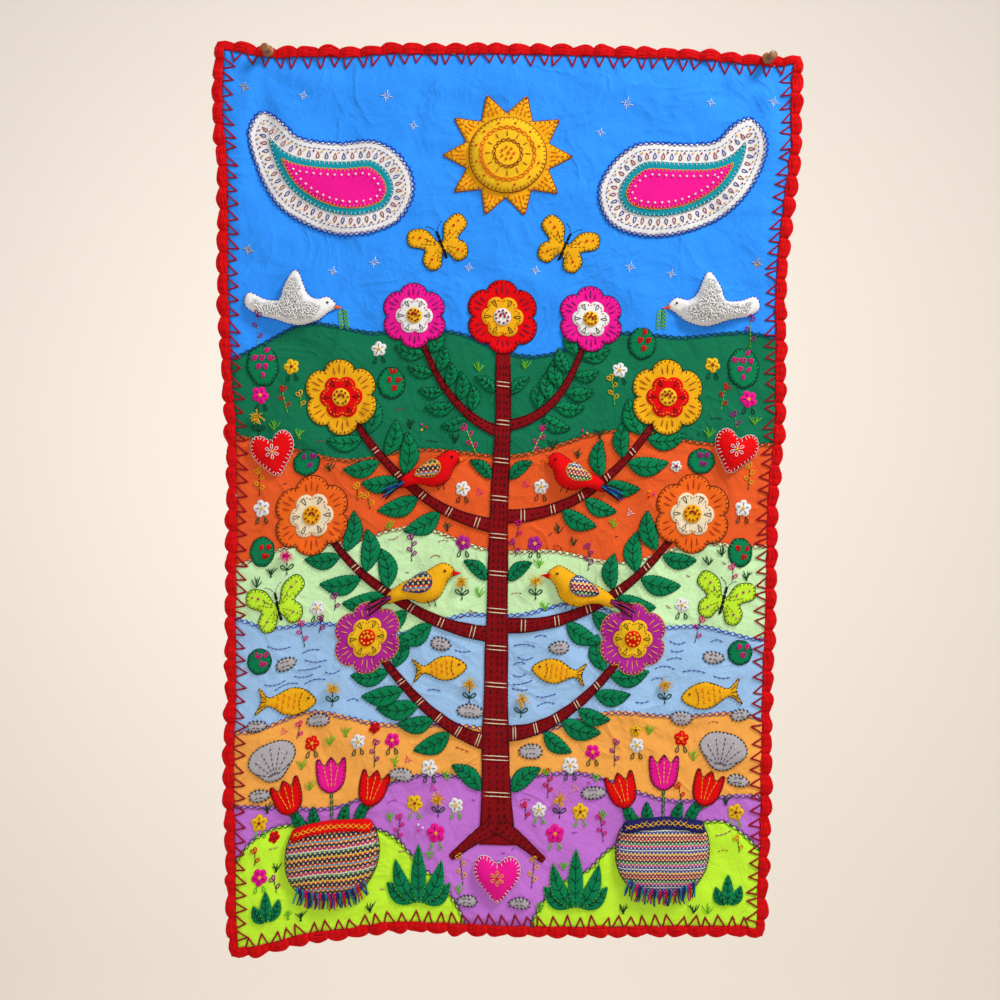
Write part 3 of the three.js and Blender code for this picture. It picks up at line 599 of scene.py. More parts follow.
def line(colour, pts, r=0.6, length=4.2, gap=0.5, closed=False, slant=0.0, jitter=0.25, each=None):
    """Back stitch, or with slant stem stitch, along a line in (a, b)."""
    g = rng()
    pts = np.asarray(pts, float)
    q = resample(pts, length, closed)
    if closed:
        q = np.vstack([q, q[:1]])
    for i in range(len(q) - 1):
        d = q[i + 1] - q[i]
        l = max(np.hypot(*d), 1e-6)
        side = np.array([-d[1], d[0]]) / l
        p0 = q[i] + d * (gap / 2 / l) - side * slant + g.normal(0, jitter * 0.4, 2)
        p1 = q[i + 1] - d * (gap / 2 / l) + side * slant + g.normal(0, jitter * 0.4, 2)
        stitch(colour, p0, p1, r)


def frames(pts, spacing, closed=True):
    """Points at equal steps along a line, with tangents and left-hand normals."""
    q = resample(pts, spacing, closed)
    if closed:
        t = np.roll(q, -1, 0) - np.roll(q, 1, 0)
    else:
        t = np.gradient(q, axis=0)
    t /= np.maximum(np.linalg.norm(t, axis=1, keepdims=True), 1e-9)
    area = 0.0
    if closed:
        area = (q[:, 0] * np.roll(q[:, 1], -1) - np.roll(q[:, 0], -1) * q[:, 1]).sum()
    n = np.stack([-t[:, 1], t[:, 0]], 1)
    if closed and area < 0:
        n = -n
    return q, t, n  # for a closed line n points inwards


def cross_edge(colour, outline, pitch=6.0, width=5.0, r=0.5, closed=True, offset=0.0):
    """Herringbone over an edge."""
    g = rng()
    q, t, n = frames(outline, pitch, closed)
    for i in range(len(q)):
        w = width * g.uniform(0.85, 1.12) / 2
        c = q[i] + n[i] * (offset + g.normal(0, 0.3))
        s = pitch * g.uniform(0.5, 0.66)
        stitch(colour, c - t[i] * s + n[i] * w, c + t[i] * s - n[i] * w, r)
        stitch(colour, c - t[i] * s * 0.9 - n[i] * w, c + t[i] * s - (-n[i]) * w * 0.95, r, arch=0.7)


def blanket(colour, outline, pitch=4.6, depth=3.6, r=0.55, closed=True):
    """Blanket stitch: bars in from the edge, and a thread along it."""
    g = rng()
    q, t, n = frames(outline, pitch, closed)
    m = len(q)
    for i in range(m):
        d = depth * g.uniform(0.82, 1.15)
        lean = g.normal(0, 0.35)
        stitch(colour, q[i] - n[i] * 0.5, q[i] + n[i] * d + t[i] * lean, r)
        if closed or i < m - 1:
            j = (i + 1) % m
            stitch(colour, q[i] - n[i] * 0.5, q[j] - n[j] * 0.5, r)


def loops(colour, pts, length=6.5, width=3.0, r=0.5, closed=False):
    """Chain stitch along a line."""
    q, t, n = frames(pts, length * 0.86, closed)
    for i in range(len(q) - (0 if closed else 1)):
        daisy(colour, q[i], math.degrees(math.atan2(t[i][1], t[i][0])), length, width, r)


def daisy(colour, p, angle, length, width, r=0.55):
    """One detached chain loop from p, in the direction angle, in degrees on (a, b)."""
    t = math.radians(angle)
    u, w = np.array([math.cos(t), math.sin(t)]), np.array([-math.sin(t), math.cos(t)])
    k = np.linspace(0, 1, 8)
    x = length * np.sin(np.pi * k) ** 0.9
    y = width * 0.5 * np.sin(2 * np.pi * k) * -1
    ab = np.asarray(p, float) + u * x[:, None] + w * y[:, None]
    h = h_at(ab[:, 0], ab[:, 1]) + r * 0.7
    h[0] -= r
    h[-1] -= r * 0.6
    th(colour).add(place(ab[:, 0], ab[:, 1], h), np.full(8, r), sides=3)


def knot(colour, p, r=1.25):
    """A French knot: two turns of thread, as a small coil."""
    g = rng()
    k = np.linspace(0, 1, 8)
    ang = 2 * np.pi * 1.75 * k + g.uniform(0, 6.28)
    rad = r * (0.62 - 0.3 * k)
    ab = np.asarray(p, float) + np.stack([np.cos(ang), np.sin(ang)], 1) * rad[:, None]
    h = h_at(*p) + r * (0.25 + 0.75 * k)
    th(colour).add(place(ab[:, 0], ab[:, 1], h), np.full(8, r * 0.52))


def strand(colour, ab0, ab1, h0, h1, r=0.8, sag=0.0, wave=0.8, n=6, sides=4):
    """A free end of yarn from one place to another, with heights in mm over the work at each end."""
    g = rng()
    t = np.linspace(0, 1, n)
    p, q = np.asarray(ab0, float), np.asarray(ab1, float)
    d = q - p
    l = max(np.hypot(*d), 1e-6)
    side = np.array([-d[1], d[0]]) / l
    w = wave * np.sin(np.pi * 1.5 * t * g.uniform(0.6, 1.4) + g.uniform(0, 6.28)) * t
    ab = p + d * t[:, None] + side * w[:, None]
    ab[:, 1] += sag * t * t
    h = np.maximum(h_at(ab[:, 0], ab[:, 1]) + r * 0.9, 0) + h0 * (1 - t) + h1 * t + g.uniform(0, 0.8) * np.sin(np.pi * t)
    rad = r * (1 - 0.25 * t)
    th(colour).add(place(ab[:, 0], ab[:, 1], h), rad, sides=sides)


def boucle(colour, mask_poly, spacing=2.6, r=0.62, size=1.9):
    """Curly yarn that fills an outline with small standing loops."""
    g = rng()
    lo, hi = mask_poly.min(0), mask_poly.max(0)
    xs, ys = np.arange(lo[0], hi[0], spacing), np.arange(lo[1], hi[1], spacing * 0.87)
    gx, gy = np.meshgrid(xs, ys)
    gx = gx + (np.arange(len(ys)) % 2)[:, None] * spacing / 2
    p = np.stack([gx.ravel(), gy.ravel()], 1)
    p += g.normal(0, spacing * 0.16, p.shape)
    p = p[inside(mask_poly, p[:, 0], p[:, 1])]
    k = np.linspace(0, 1, 8)
    for c in p:
        ang = 2 * np.pi * k * 1.1 + g.uniform(0, 6.28)
        s = size * g.uniform(0.75, 1.25)
        tilt = g.uniform(0, np.pi)
        x, y = s * np.cos(ang), s * np.sin(ang)
        ab = c + np.stack([x * math.cos(tilt) - 0.45 * y * math.sin(tilt), x * math.sin(tilt) + 0.45 * y * math.cos(tilt)], 1)
        h = h_at(*c) + r + s * 0.75 * (1 + np.sin(ang))
        th(colour).add(place(ab[:, 0], ab[:, 1], h), np.full(8, r))


def tuft(colour, p, n=26, length=8.0, r=0.5, spread=1.0, aim=None):
    """A tassel head or pompom of short ends that stand out from one place."""
    g = rng()
    x0, z0 = hang(p[0] / CLOTH_W + 0.5, p[1] / CLOTH_H)
    root = place(p[0], p[1], h_at(*p) + 0.4)
    k = np.linspace(0, 1, 5)
    for _ in range(n):
        ang = g.uniform(0, 2 * np.pi) if aim is None else math.radians(aim) + g.normal(0, 0.5)
        out = np.sqrt(g.uniform(0.02, 1)) * spread
        d = np.array([math.cos(ang) * out, -math.sqrt(max(1.05 - out * out, 0.04)), -math.sin(ang) * out])
        l = length * g.uniform(0.75, 1.1) / 1000
        bend = np.array([g.normal(0, 0.12), 0, g.normal(0, 0.12) - 0.12])
        pts = root + l * (d * k[:, None] + bend * (k * k)[:, None])
        th(colour).add(pts, r * (1 - 0.2 * k), ref=(0.1, 0.3, 0.95), sides=4)


# ------------------------------------------------------------------ materials
def lin(r, g, b):
    def f(c):
        c /= 255.0
        return c / 12.92 if c <= 0.04045 else ((c + 0.055) / 1.055) ** 2.4

    return (f(r), f(g), f(b), 1.0)


class Nodes:
    def __init__(self, name):
        self.mat = bpy.data.materials.new(name)
        self.mat.use_nodes = True
        self.t = self.mat.node_tree
        self.t.nodes.clear()
        self.out = self.t.nodes.new("ShaderNodeOutputMaterial")
        self.p = self.t.nodes.new("ShaderNodeBsdfPrincipled")
        self.link(self.p.outputs[0], self.out.inputs[0])

    def link(self, a, b):
        self.t.links.new(a, b)

    def new(self, kind, **k):
        n = self.t.nodes.new(kind)
        for key, v in k.items():
            setattr(n, key, v)
        return n

    def math(self, op, a, b=None, c=None):
        n = self.new("ShaderNodeMath", operation=op)
        for i, x in enumerate((a, b, c)):
            if x is None:
                continue
            if isinstance(x, (int, float)):
                n.inputs[i].default_value = x
            else:
                self.link(x, n.inputs[i])
        return n.outputs[0]

    def attr(self, name):
        n = self.new("ShaderNodeAttribute", attribute_name=name, attribute_type="GEOMETRY")
        s = self.new("ShaderNodeSeparateXYZ")
        self.link(n.outputs["Vector"], s.inputs[0])
        return s.outputs[0], s.outputs[1], s.outputs[2]

    def coord(self):
        return self.new("ShaderNodeTexCoord").outputs["Object"]

    def noise(self, scale, detail=3.0, rough=0.5, distortion=0.0, vector=None):
        n = self.new("ShaderNodeTexNoise")
        n.inputs["Scale"].default_value = scale
        n.inputs["Detail"].default_value = detail
        n.inputs["Roughness"].default_value = rough
        n.inputs["Distortion"].default_value = distortion
        self.link(vector or self.coord(), n.inputs["Vector"])
        return n.outputs["Fac"]

    def mix(self, fac, a, b, blend="MIX"):
        n = self.new("ShaderNodeMix", data_type="RGBA", blend_type=blend)
        for i, x in ((0, fac), (6, a), (7, b)):
            if isinstance(x, (int, float, tuple)):
                n.inputs[i].default_value = x
            else:
                self.link(x, n.inputs[i])
        return n.outputs[2]

    def ramp(self, fac, stops, constant=False):
        n = self.new("ShaderNodeValToRGB")
        r = n.color_ramp
        r.interpolation = "CONSTANT" if constant else "LINEAR"
        while len(r.elements) < len(stops):
            r.elements.new(0.5)
        for e, (pos, col) in zip(r.elements, stops):
            e.position = pos
            e.color = col
        self.link(fac, n.inputs[0])
        return n.outputs[0]

    def bump(self, height, strength, distance, below=None):
        n = self.new("ShaderNodeBump")
        n.inputs["Strength"].default_value = strength
        n.inputs["Distance"].default_value = distance
        self.link(height, n.inputs["Height"])
        if below is not None:
            self.link(below, n.inputs["Normal"])
        return n.outputs[0]

    def done(self, colour, rough=0.9, normal=None, sheen=0.0, sheen_rough=0.5, metallic=0.0, coat=0.0, specular=0.5, tint=None):
        p = self.p
        if isinstance(colour, tuple):
            p.inputs["Base Color"].default_value = colour
        else:
            self.link(colour, p.inputs["Base Color"])
        if isinstance(rough, (int, float)):
            p.inputs["Roughness"].default_value = rough
        else:
            self.link(rough, p.inputs["Roughness"])
        p.inputs["Sheen Weight"].default_value = sheen
        p.inputs["Sheen Roughness"].default_value = sheen_rough
        if tint:
            p.inputs["Sheen Tint"].default_value = tint
        p.inputs["Metallic"].default_value = metallic
        p.inputs["Coat Weight"].default_value = coat
        p.inputs["Specular IOR Level"].default_value = specular
        if normal is not None:
            self.link(normal, p.inputs["Normal"])
        return self.mat


def scaled(c, k):
    return (min(c[0] * k, 1), min(c[1] * k, 1), min(c[2] * k, 1), 1.0)


def felt_mat(name, rgb, fuzz=0.3):
    n = Nodes(name)
    c = lin(*rgb)
    big = n.noise(38, 3, 0.6)
    fine = n.noise(620, 5, 0.72, 0.9)
    fibre = n.noise(2400, 3, 0.6, 1.5)
    col = n.mix(n.math("MULTIPLY", n.math("MULTIPLY_ADD", fine, 2.4, -0.7), 0.55), scaled(c, 1.12), scaled(c, 0.66))
    col = n.mix(n.math("MULTIPLY", big, 0.35), col, scaled(c, 0.82))
    _, _, d = n.attr("loc")
    # Painted shade: the colour darkens towards the cut edge of each felt piece, d being the distance to that edge.
    rim = n.math("SUBTRACT", 1.0, n.math("MINIMUM", n.math("DIVIDE", d, 1.6), 1.0))
    col = n.mix(n.math("MULTIPLY", rim, 0.22), col, scaled(c, 0.70))
    height = n.math("ADD", n.math("MULTIPLY", fine, 0.65), n.math("MULTIPLY", fibre, 0.35))
    return n.done(col, 0.97, n.bump(height, 0.9, 0.0010), sheen=fuzz, sheen_rough=0.6, specular=0.12, tint=scaled(c, 1.15))


def cotton_mat(name, rgb):
    n = Nodes(name)
    c = lin(*rgb)
    s = n.new("ShaderNodeSeparateXYZ")
    n.link(n.coord(), s.inputs[0])
    k = 2 * math.pi / 0.00075
    wob = n.math("MULTIPLY", n.noise(60, 2), 3.0)
    wx = n.math("SINE", n.math("ADD", n.math("MULTIPLY", s.outputs[0], k), wob))
    wz = n.math("SINE", n.math("ADD", n.math("MULTIPLY", s.outputs[2], k), wob))
    weave = n.math("MULTIPLY", wx, wz)
    slub = n.noise(420, 3, 0.6, 0.4)
    big = n.noise(9, 3, 0.55)
    col = n.mix(n.math("MULTIPLY", n.math("ADD", weave, 1.0), 0.06), c, scaled(c, 0.72))
    col = n.mix(n.math("MULTIPLY", slub, 0.22), col, scaled(c, 0.84))
    col = n.mix(n.math("MULTIPLY", big, 0.22), col, scaled(c, 0.84))
    h = n.math("ADD", n.math("MULTIPLY", weave, 0.35), slub)
    b = n.bump(h, 0.28, 0.00035)
    def ridge(scale, detail, width, twist):
        v = n.noise(scale, detail, 0.5, twist)
        v = n.math("ABSOLUTE", n.math("MULTIPLY_ADD", v, 2.0, -1.0))
        return n.math("MAXIMUM", n.math("MULTIPLY_ADD", v, -width, 1.0), 0.0)
    soft = n.noise(24, 4, 0.6, 0.8)
    b = n.bump(soft, 0.7, 0.004, b)
    fine = n.math("MULTIPLY", ridge(46, 2, 4.0, 1.4), n.noise(13, 2))
    b = n.bump(fine, 0.7, 0.0005, b)
    long = n.math("MULTIPLY", ridge(12, 2, 5.0, 1.8), n.noise(7, 2))
    b = n.bump(long, 0.9, 0.0017, b)
    return n.done(col, 0.9, b, sheen=0.08, specular=0.2, tint=scaled(c, 1.1))


def yarn_mat(name, rgb, pitch=3.2, fuzz=0.35, rough=0.85, groove_shade=0.55, deep=None):
    """Plied yarn: the plies turn round the strand, and short fibres roughen it. The grooves between the plies get
    painted shade: their colour is darkened towards deep.
    """
    n = Nodes(name)
    c = lin(*rgb)
    # deep is the colour of the painted shade in the grooves; without it the shade is half the base colour
    painted_groove_shade = lin(*deep) if deep else scaled(c, 0.5)
    l, cs, sn = n.attr("tuv")
    ang = n.math("MULTIPLY", l, 2 * math.pi / pitch)
    ply = n.math("ADD", n.math("MULTIPLY", n.math("SINE", ang), cs), n.math("MULTIPLY", n.math("COSINE", ang), sn))
    ply = n.math("MULTIPLY_ADD", ply, 0.5, 0.5)
    fibre = n.noise(2200, 3, 0.65, 1.0)
    mid = n.noise(260, 3, 0.6)
    # painted shade: darker where the plies dip into their grooves
    col = n.mix(n.math("MULTIPLY", n.math("SUBTRACT", 1.0, ply), groove_shade), c, painted_groove_shade)
    col = n.mix(n.math("MULTIPLY", fibre, 0.3), col, scaled(c, 0.78))
    col = n.mix(n.math("MULTIPLY", mid, 0.25), col, scaled(c, 1.12))
    h = n.math("ADD", ply, n.math("MULTIPLY", fibre, 0.6))
    return n.done(col, rough, n.bump(h, 0.7, 0.0004), sheen=fuzz, sheen_rough=0.5, specular=0.22, tint=scaled(c, 1.15))


def woven_mat(name, period, stops, pick, pick_k):
    """Handwoven cloth: bands across with a small pick-up figure in some of them."""
    n = Nodes(name)
    x, y, _ = n.attr("loc")
    wob = n.math("MULTIPLY", n.noise(120, 2), 1.2)
    yy = n.math("ADD", y, wob)
    f = n.math("FRACT", n.math("DIVIDE", yy, period))
    col = n.ramp(f, [(p, lin(*c)) for p, c in stops], True)
    fig = n.math("MULTIPLY", n.math("SINE", n.math("MULTIPLY", x, pick_k)), n.math("SINE", n.math("MULTIPLY", yy, 2 * math.pi / period * 4)))
    mask = n.math("GREATER_THAN", fig, 0.35)
    col = n.mix(n.math("MULTIPLY", mask, 0.85), col, lin(*pick))
    rib = n.math("SINE", n.math("MULTIPLY", yy, 2 * math.pi / 0.9))
    warp = n.math("SINE", n.math("MULTIPLY", x, 2 * math.pi / 1.3))
    fibre = n.noise(1500, 3, 0.6, 0.8)
    col = n.mix(n.math("MULTIPLY", fibre, 0.28), col, (0.012, 0.01, 0.012, 1))
    h = n.math("ADD", n.math("MULTIPLY", rib, 0.5), n.math("ADD", n.math("MULTIPLY", warp, 0.3), fibre))
    return n.done(col, 0.92, n.bump(h, 0.6, 0.0005), sheen=0.2, specular=0.2)


C = {
    "sky": (44, 146, 255),
    "green": (6, 114, 78),
    "leaf": (8, 128, 80),
    "orange": (230, 90, 34),
    "apricot": (250, 172, 78),
    "water": (158, 198, 240),
    "mint": (204, 243, 184),
    "purple": (198, 116, 218),
    "lime": (198, 250, 52),
    "white": (238, 237, 236),
    "yellow": (250, 178, 24),
    "gold": (255, 196, 34),
    "red": (232, 8, 16),
    "pink": (246, 24, 150),
    "magenta": (176, 38, 150),
    "tangerine": (255, 106, 30),
    "brown": (134, 12, 20),
    "grey": (184, 178, 183),
    "night": (34, 34, 92),
    "black": (16, 14, 18),
    "blue": (30, 40, 170),
    "crimson": (168, 12, 34),
    "cream": (244, 226, 190),
    "spring": (120, 206, 40),
    "forest": (10, 74, 44),
    "teal": (20, 150, 170),
}
FELT = {k: felt_mat("felt_" + k, C[k]) for k in ("leaf", "white", "yellow", "gold", "red", "pink", "magenta", "tangerine", "brown", "grey", "lime", "night", "cream", "spring", "teal")}
COTTON = {k: cotton_mat("cotton_" + k, C[k]) for k in ("sky", "green", "orange", "apricot", "water", "mint", "purple", "lime")}
WOVEN_A = woven_mat(
    "woven_a", 24.0,
    [(0.0, (26, 22, 70)), (0.16, (206, 30, 46)), (0.22, (246, 196, 50)), (0.27, (26, 22, 70)), (0.42, (20, 130, 110)), (0.5, (240, 240, 232)), (0.54, (196, 40, 120)), (0.68, (26, 22, 70)), (0.8, (240, 120, 40)), (0.86, (40, 150, 200)), (0.92, (206, 30, 46))],
    (246, 226, 130), 1.25,
)
WOVEN_B = woven_mat(
    "woven_b", 19.0,
    [(0.0, (150, 20, 50)), (0.2, (250, 190, 60)), (0.27, (30, 60, 150)), (0.42, (236, 236, 226)), (0.47, (30, 60, 150)), (0.6, (220, 60, 140)), (0.72, (60, 170, 90)), (0.8, (20, 18, 40)), (0.93, (240, 110, 40))],
    (250, 240, 210), 1.6,
)

# ------------------------------------------------------------------ the ground cloth
def sheet_grid(name, A, B, top, bottom, mat, flip=False):
    """A closed sheet on a grid of (a, b), between two heights."""
    nj, ni = A.shape
    n = ni * nj
    v = np.concatenate([place(A.ravel(), B.ravel(), top.ravel()), place(A.ravel(), B.ravel(), bottom.ravel())])
    idx = np.arange(n).reshape(nj, ni)
    q = np.stack([idx[:-1, :-1], idx[1:, :-1], idx[1:, 1:], idx[:-1, 1:]], -1).reshape(-1, 4)
    faces = [q, q[:, ::-1] + n]
    for ring in (idx[0, :], idx[-1, ::-1], idx[::-1, 0], idx[:, -1]):
        faces.append(np.stack([ring[:-1], ring[1:], ring[1:] + n, ring[:-1] + n], 1))
    edge = np.minimum(np.minimum(A - A.min(), A.max() - A), np.minimum(B - B.min(), B.max() - B)).ravel()
    loc = np.stack([A.ravel(), -B.ravel(), edge], 1)
    ob = make_mesh(name, v, faces, {"loc": np.concatenate([loc, loc])}, mat)
    return ob


A, B = np.meshgrid(np.linspace(-280, 280, 117), np.linspace(0, 885, 184))
ground = sheet_grid("ground_cloth", A, B, 0 * A, 0 * A - 1.25, COTTON["sky"])
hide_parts("ground")

# Bands of cloth sewn on the ground. Each top edge waves; the next one covers its bottom edge.
def wave(base, *terms):
    return lambda a: base + sum(k * np.sin(a / l + p) for k, l, p in terms)


BANDS = [
    {"name": "band_green", "colour": "green", "top": wave(296, (15, 62, 1.2), (7, 25, 0.4), (-12, 190, 1.57)), "thread": "blue"},
    {"name": "band_orange", "colour": "orange", "top": wave(396, (13, 80, 2.6), (6, 30, 1.0)), "thread": "forest"},
    {"name": "band_mint", "colour": "mint", "top": wave(498, (12, 70, 0.2), (5, 23, 2.2)), "thread": "crimson"},
    {"name": "band_water", "colour": "water", "top": wave(572, (13, 58, 3.6), (5, 21, 0.6)), "thread": "blue"},
    {"name": "band_apricot", "colour": "apricot", "top": wave(676, (11, 66, 1.9), (5, 24, 0.1)), "thread": "blue"},
    {"name": "band_purple", "colour": "purple", "top": wave(742, (13, 74, 4.4), (6, 28, 1.5)), "thread": "forest"},
]
bands = []
for i, band in enumerate(BANDS):
    cols = np.linspace(-279.4, 279.4, 117)
    top = band["top"](cols)
    bottom = BANDS[i + 1]["top"](cols) + 9 if i + 1 < len(BANDS) else np.full(len(cols), 884.4)
    rows = np.concatenate([np.linspace(0, 14, 5), np.linspace(14, 100, 18)[1:]])
    t = rows / 100
    near = np.minimum(rows, 14)
    span = bottom - top
    Bm = np.where(rows[:, None] <= 14, top[None] + rows[:, None], top[None] + 14 + (span - 14)[None] * ((rows - 14) / 86)[:, None])
    Am = np.broadcast_to(cols[None], Bm.shape).copy()
    poly = np.concatenate([np.stack([cols, top], 1), np.stack([cols, bottom], 1)[::-1]])
    field = Field([poly])
    base = field.sample(field.base, Am, Bm) + 0.12
    d = (Bm - top[None])
    thick = 0.55 * (0.55 + 0.45 * np.sqrt(np.clip(d / 1.5, 0, 1)))
    ob = sheet_grid(band["name"], Am, Bm, base + thick, base, COTTON[band["colour"]])
    field.write(0.12 + 0.55)
    bands.append(ob)
    band["edge"] = np.stack([cols, top], 1)

# Lime mounds at the foot.
MOUNDS = [
    {"name": "mound_left", "pts": [(-279.2, 800), (-262, 782), (-236, 772), (-206, 776), (-178, 790), (-140, 786), (-108, 800), (-84, 826), (-58, 846), (-40, 872), (-36, 884.2), (-279.2, 884.2)], "corner": 2},
    {"name": "mound_right", "pts": [(279.2, 884.2), (36, 884.2), (44, 866), (66, 842), (96, 828), (120, 806), (156, 794), (188, 796), (214, 780), (240, 778), (262, 790), (279.2, 804)], "corner": 2},
]
for m in MOUNDS:
    pts = np.array(m["pts"], float)
    if m["name"] == "mound_left":
        curve = smooth(pts[:-1], 6, closed=False)
        poly = np.vstack([curve, pts[-1:]])
        edge = curve[:-1]
    else:
        curve = smooth(pts[1:], 6, closed=False)
        poly = np.vstack([pts[:1], curve])
        edge = curve
    piece(m["name"], [poly], 0.55, COTTON["lime"], "cotton_blue", rests=["band_purple"], step=6, edge=3, takes=False)
    m["edge"] = edge

for band in BANDS:
    cross_edge(band["thread"], band["edge"], pitch=7.5, width=5.0, r=0.5, closed=False, offset=1.5)
for m in MOUNDS:
    cross_edge("forest", m["edge"], pitch=7.5, width=5.0, r=0.5, closed=False, offset=0)

# ------------------------------------------------------------------ outlines, as in the CAD
def mirrored(half):
    return list(half) + [(-x, y) for x, y in reversed(half)]


OUT = {
    "paisley": [(-72, -8), (-62, -36), (-30, -50), (12, -48), (48, -30), (70, 0), (78, 30), (68, 50), (52, 44), (34, 30), (4, 30), (-34, 34), (-60, 18)],
    "dove": [(47, 5), (36, 15), (25, 11), (15, 15), (-2, 42), (-14, 24), (-18, 9), (-34, 8), (-52, 12), (-55, -2), (-44, -9), (-20, -13), (6, -19), (27, -13), (38, -3)],
    "songbird": [(31, 8), (22, 17), (11, 14), (-1, 8), (-17, 3), (-34, -6), (-37, -14), (-15, -13), (0, -18), (15, -13), (23, 0)],
    "butterfly": mirrored([(2.5, 4), (10, 20), (26, 25), (31, 12), (17, 1), (23, -7), (20, -19), (9, -20), (2.5, -8)]),
    "fish": [(31, 0), (16, 12), (0, 13), (-14, 6), (-21, 4), (-33, 14), (-28, 0), (-33, -14), (-21, -4), (-14, -6), (0, -13), (16, -12)],
    "shell": mirrored([(6, -17), (14, -10), (23, 2), (19, 12), (10, 17), (2, 18)]),
    "pot": mirrored([(20, -39), (38, -28), (49, -6), (48, 18), (40, 32), (16, 34)]),
    "tulip": [(0, -18), (11, -12), (15, 3), (14, 18), (7, 9), (0, 18), (-7, 9), (-14, 18), (-15, 3), (-11, -12)],
}
HEART = mirrored([(1.5, -17), (9, -9), (16, 0), (17, 9), (12, 15.5), (6, 14.5), (1.5, 10.5)])


def circle(r, n=48):
    t = 2 * np.pi * np.arange(n) / n
    return np.stack([r * np.cos(t), r * np.sin(t)], 1)


def blossom(r, petals=6, deep=0.2, turn=0.0):
    t = 2 * np.pi * np.arange(180) / 180
    k = r * (1 - deep + deep * np.abs(np.sin(petals / 2 * t)) ** 0.55)
    return np.stack([k * np.cos(t + turn), k * np.sin(t + turn)], 1)


def outline(kind, row):
    if kind == "rays":
        n = 20
        t = 2 * np.pi * np.arange(n) / n
        k = np.where(np.arange(n) % 2 == 1, row["r"] * 0.66, row["r"])
        p = np.stack([k * np.cos(t), k * np.sin(t)], 1)
        return p
    if kind == "disc":
        return circle(row["r"])
    if kind == "blossom":
        return blossom(row["r"])
    if kind == "heart":
        return smooth(np.array(HEART) * row["r"] / 17, 6)
    return smooth(OUT[kind], 6)


TREE = [
    (0, 803, -7, 560, 0, 300, 40, 15),
    (2, 780, -24, 796, -50, 818, 26, 7),
    (-2, 780, 24, 796, 50, 818, 26, 7),
    (-6, 700, -70, 690, -128, 610, 20, 8),
    (2, 690, 70, 690, 128, 610, 20, 8),
    (-6, 590, -110, 585, -186, 480, 19, 7),
    (0, 580, 110, 585, 186, 480, 19, 7),
    (-5, 480, -100, 470, -160, 362, 17, 7),
    (0, 470, 100, 470, 160, 362, 17, 7),
    (-3, 385, -60, 370, -84, 288, 14, 6),
    (1, 378, 60, 370, 84, 288, 14, 6),
]


def branch(row, t):
    a0, b0, a1, b1, a2, b2, w0, w2 = row
    t = np.asarray(t, float)
    k = 1 - t
    p = np.stack([k * k * a0 + 2 * k * t * a1 + t * t * a2, k * k * b0 + 2 * k * t * b1 + t * t * b2], -1)
    d = np.stack([2 * k * (a1 - a0) + 2 * t * (a2 - a1), 2 * k * (b1 - b0) + 2 * t * (b2 - b1)], -1)
    d /= np.linalg.norm(d, axis=-1, keepdims=True)
    return p, d, (w0 + (w2 - w0) * np.sqrt(t)) / 2


# The tree.
strips = []
for row in TREE:
    p, d, w = branch(row, np.linspace(0, 1, 22))
    nrm = np.stack([-d[:, 1], d[:, 0]], 1)
    wob = 1 + 0.05 * np.sin(np.arange(22) * 1.7 + row[4])
    strips.append(np.vstack([p + nrm * (w * wob)[:, None], (p - nrm * (w * wob)[:, None])[::-1]]))
v, f, loc, _ = felt(strips, 1.3, edge=2.2)
tree = make_mesh("tree_felt", v, f, {"loc": loc}, FELT["brown"])
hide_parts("tree")
for s, row in zip(strips, TREE):
    p, d, w = branch(row, np.linspace(0.04, 0.97, 60))
    nrm = np.stack([-d[:, 1], d[:, 0]], 1)
    wide = row[6] > 18
    for off in ((-0.45, 0.1, 0.5) if row[6] > 30 else (-0.3, 0.35) if wide else (0.05,)):
        line("black", p + nrm * (w * off)[:, None], r=0.55, length=7, gap=3.2, jitter=1.0)
    for side in (1, -1):
        line("black", p + nrm * (side * (w - 0.6))[:, None], r=0.6, length=4.2, gap=0.6, slant=0.35)

for row in TREE:
    if row[6] < 16 or row[6] == 26:
        continue
    for t in np.arange(0.10, 0.95, 0.075 if row[6] > 30 else 0.17):
        for dt in (0, 4.0 / (500 if row[6] > 30 else 210)):
            p, d, w = branch(row, t + dt)
            nrm = np.array([-d[1], d[0]])
            stitch("cream", p + nrm * (w * 0.94), p - nrm * (w * 0.94) + d * 1.2, 0.7, arch=0.15, n=5)

# Felt leaves along the branches, before the blossoms.
leaf_pile, leaf2_pile = Pile(), Pile()


def leaf(p, angle, length, width, pile=leaf_pile, vein="black", thick=1.1, curl=0.12, hem=None):
    """A felt leaf from p in the direction angle, in degrees with up positive."""
    t = np.linspace(0, 1, 15)
    w = width / 2 * np.sin(np.pi * t**0.82) ** 0.85
    bendy = curl * length * np.sin(np.pi * t)
    x = length * t
    up, dn = np.stack([x, bendy + w], 1), np.stack([x, bendy - w], 1)[::-1]
    row = {"a": p[0], "b": p[1], "turn": angle}
    poly = spot(row, np.vstack([up, dn[1:-1]]))
    v, f, loc, _ = felt([poly], thick, row, step=4.0, edge=2.4, lift=0.4)
    pile.add(v, f, loc)
    mid = spot(row, np.stack([x, bendy], 1)[1:-1])
    line(vein, mid, r=0.5, length=4.5, gap=0.4)
    for k in range(3, 12, 3):
        for s in (1, -1):
            q = spot(row, [(x[k], bendy[k]), (x[k] + width * 0.32, bendy[k] + s * w[k] * 0.68)])
            stitch(vein, q[0], q[1], 0.38)
    line(hem or vein, np.vstack([poly, poly[:1]]), r=0.5, length=4.0, gap=1.1)
    UNDER.append((hem or vein, np.vstack([poly, poly[:1]]), 4.0, 1.3))
    UNDER.append((vein, mid, 4.5, 1.4))


def clear(p, others):
    return all(np.hypot(p[0] - o["a"], p[1] - o["b"]) > o["clear"] for o in others)


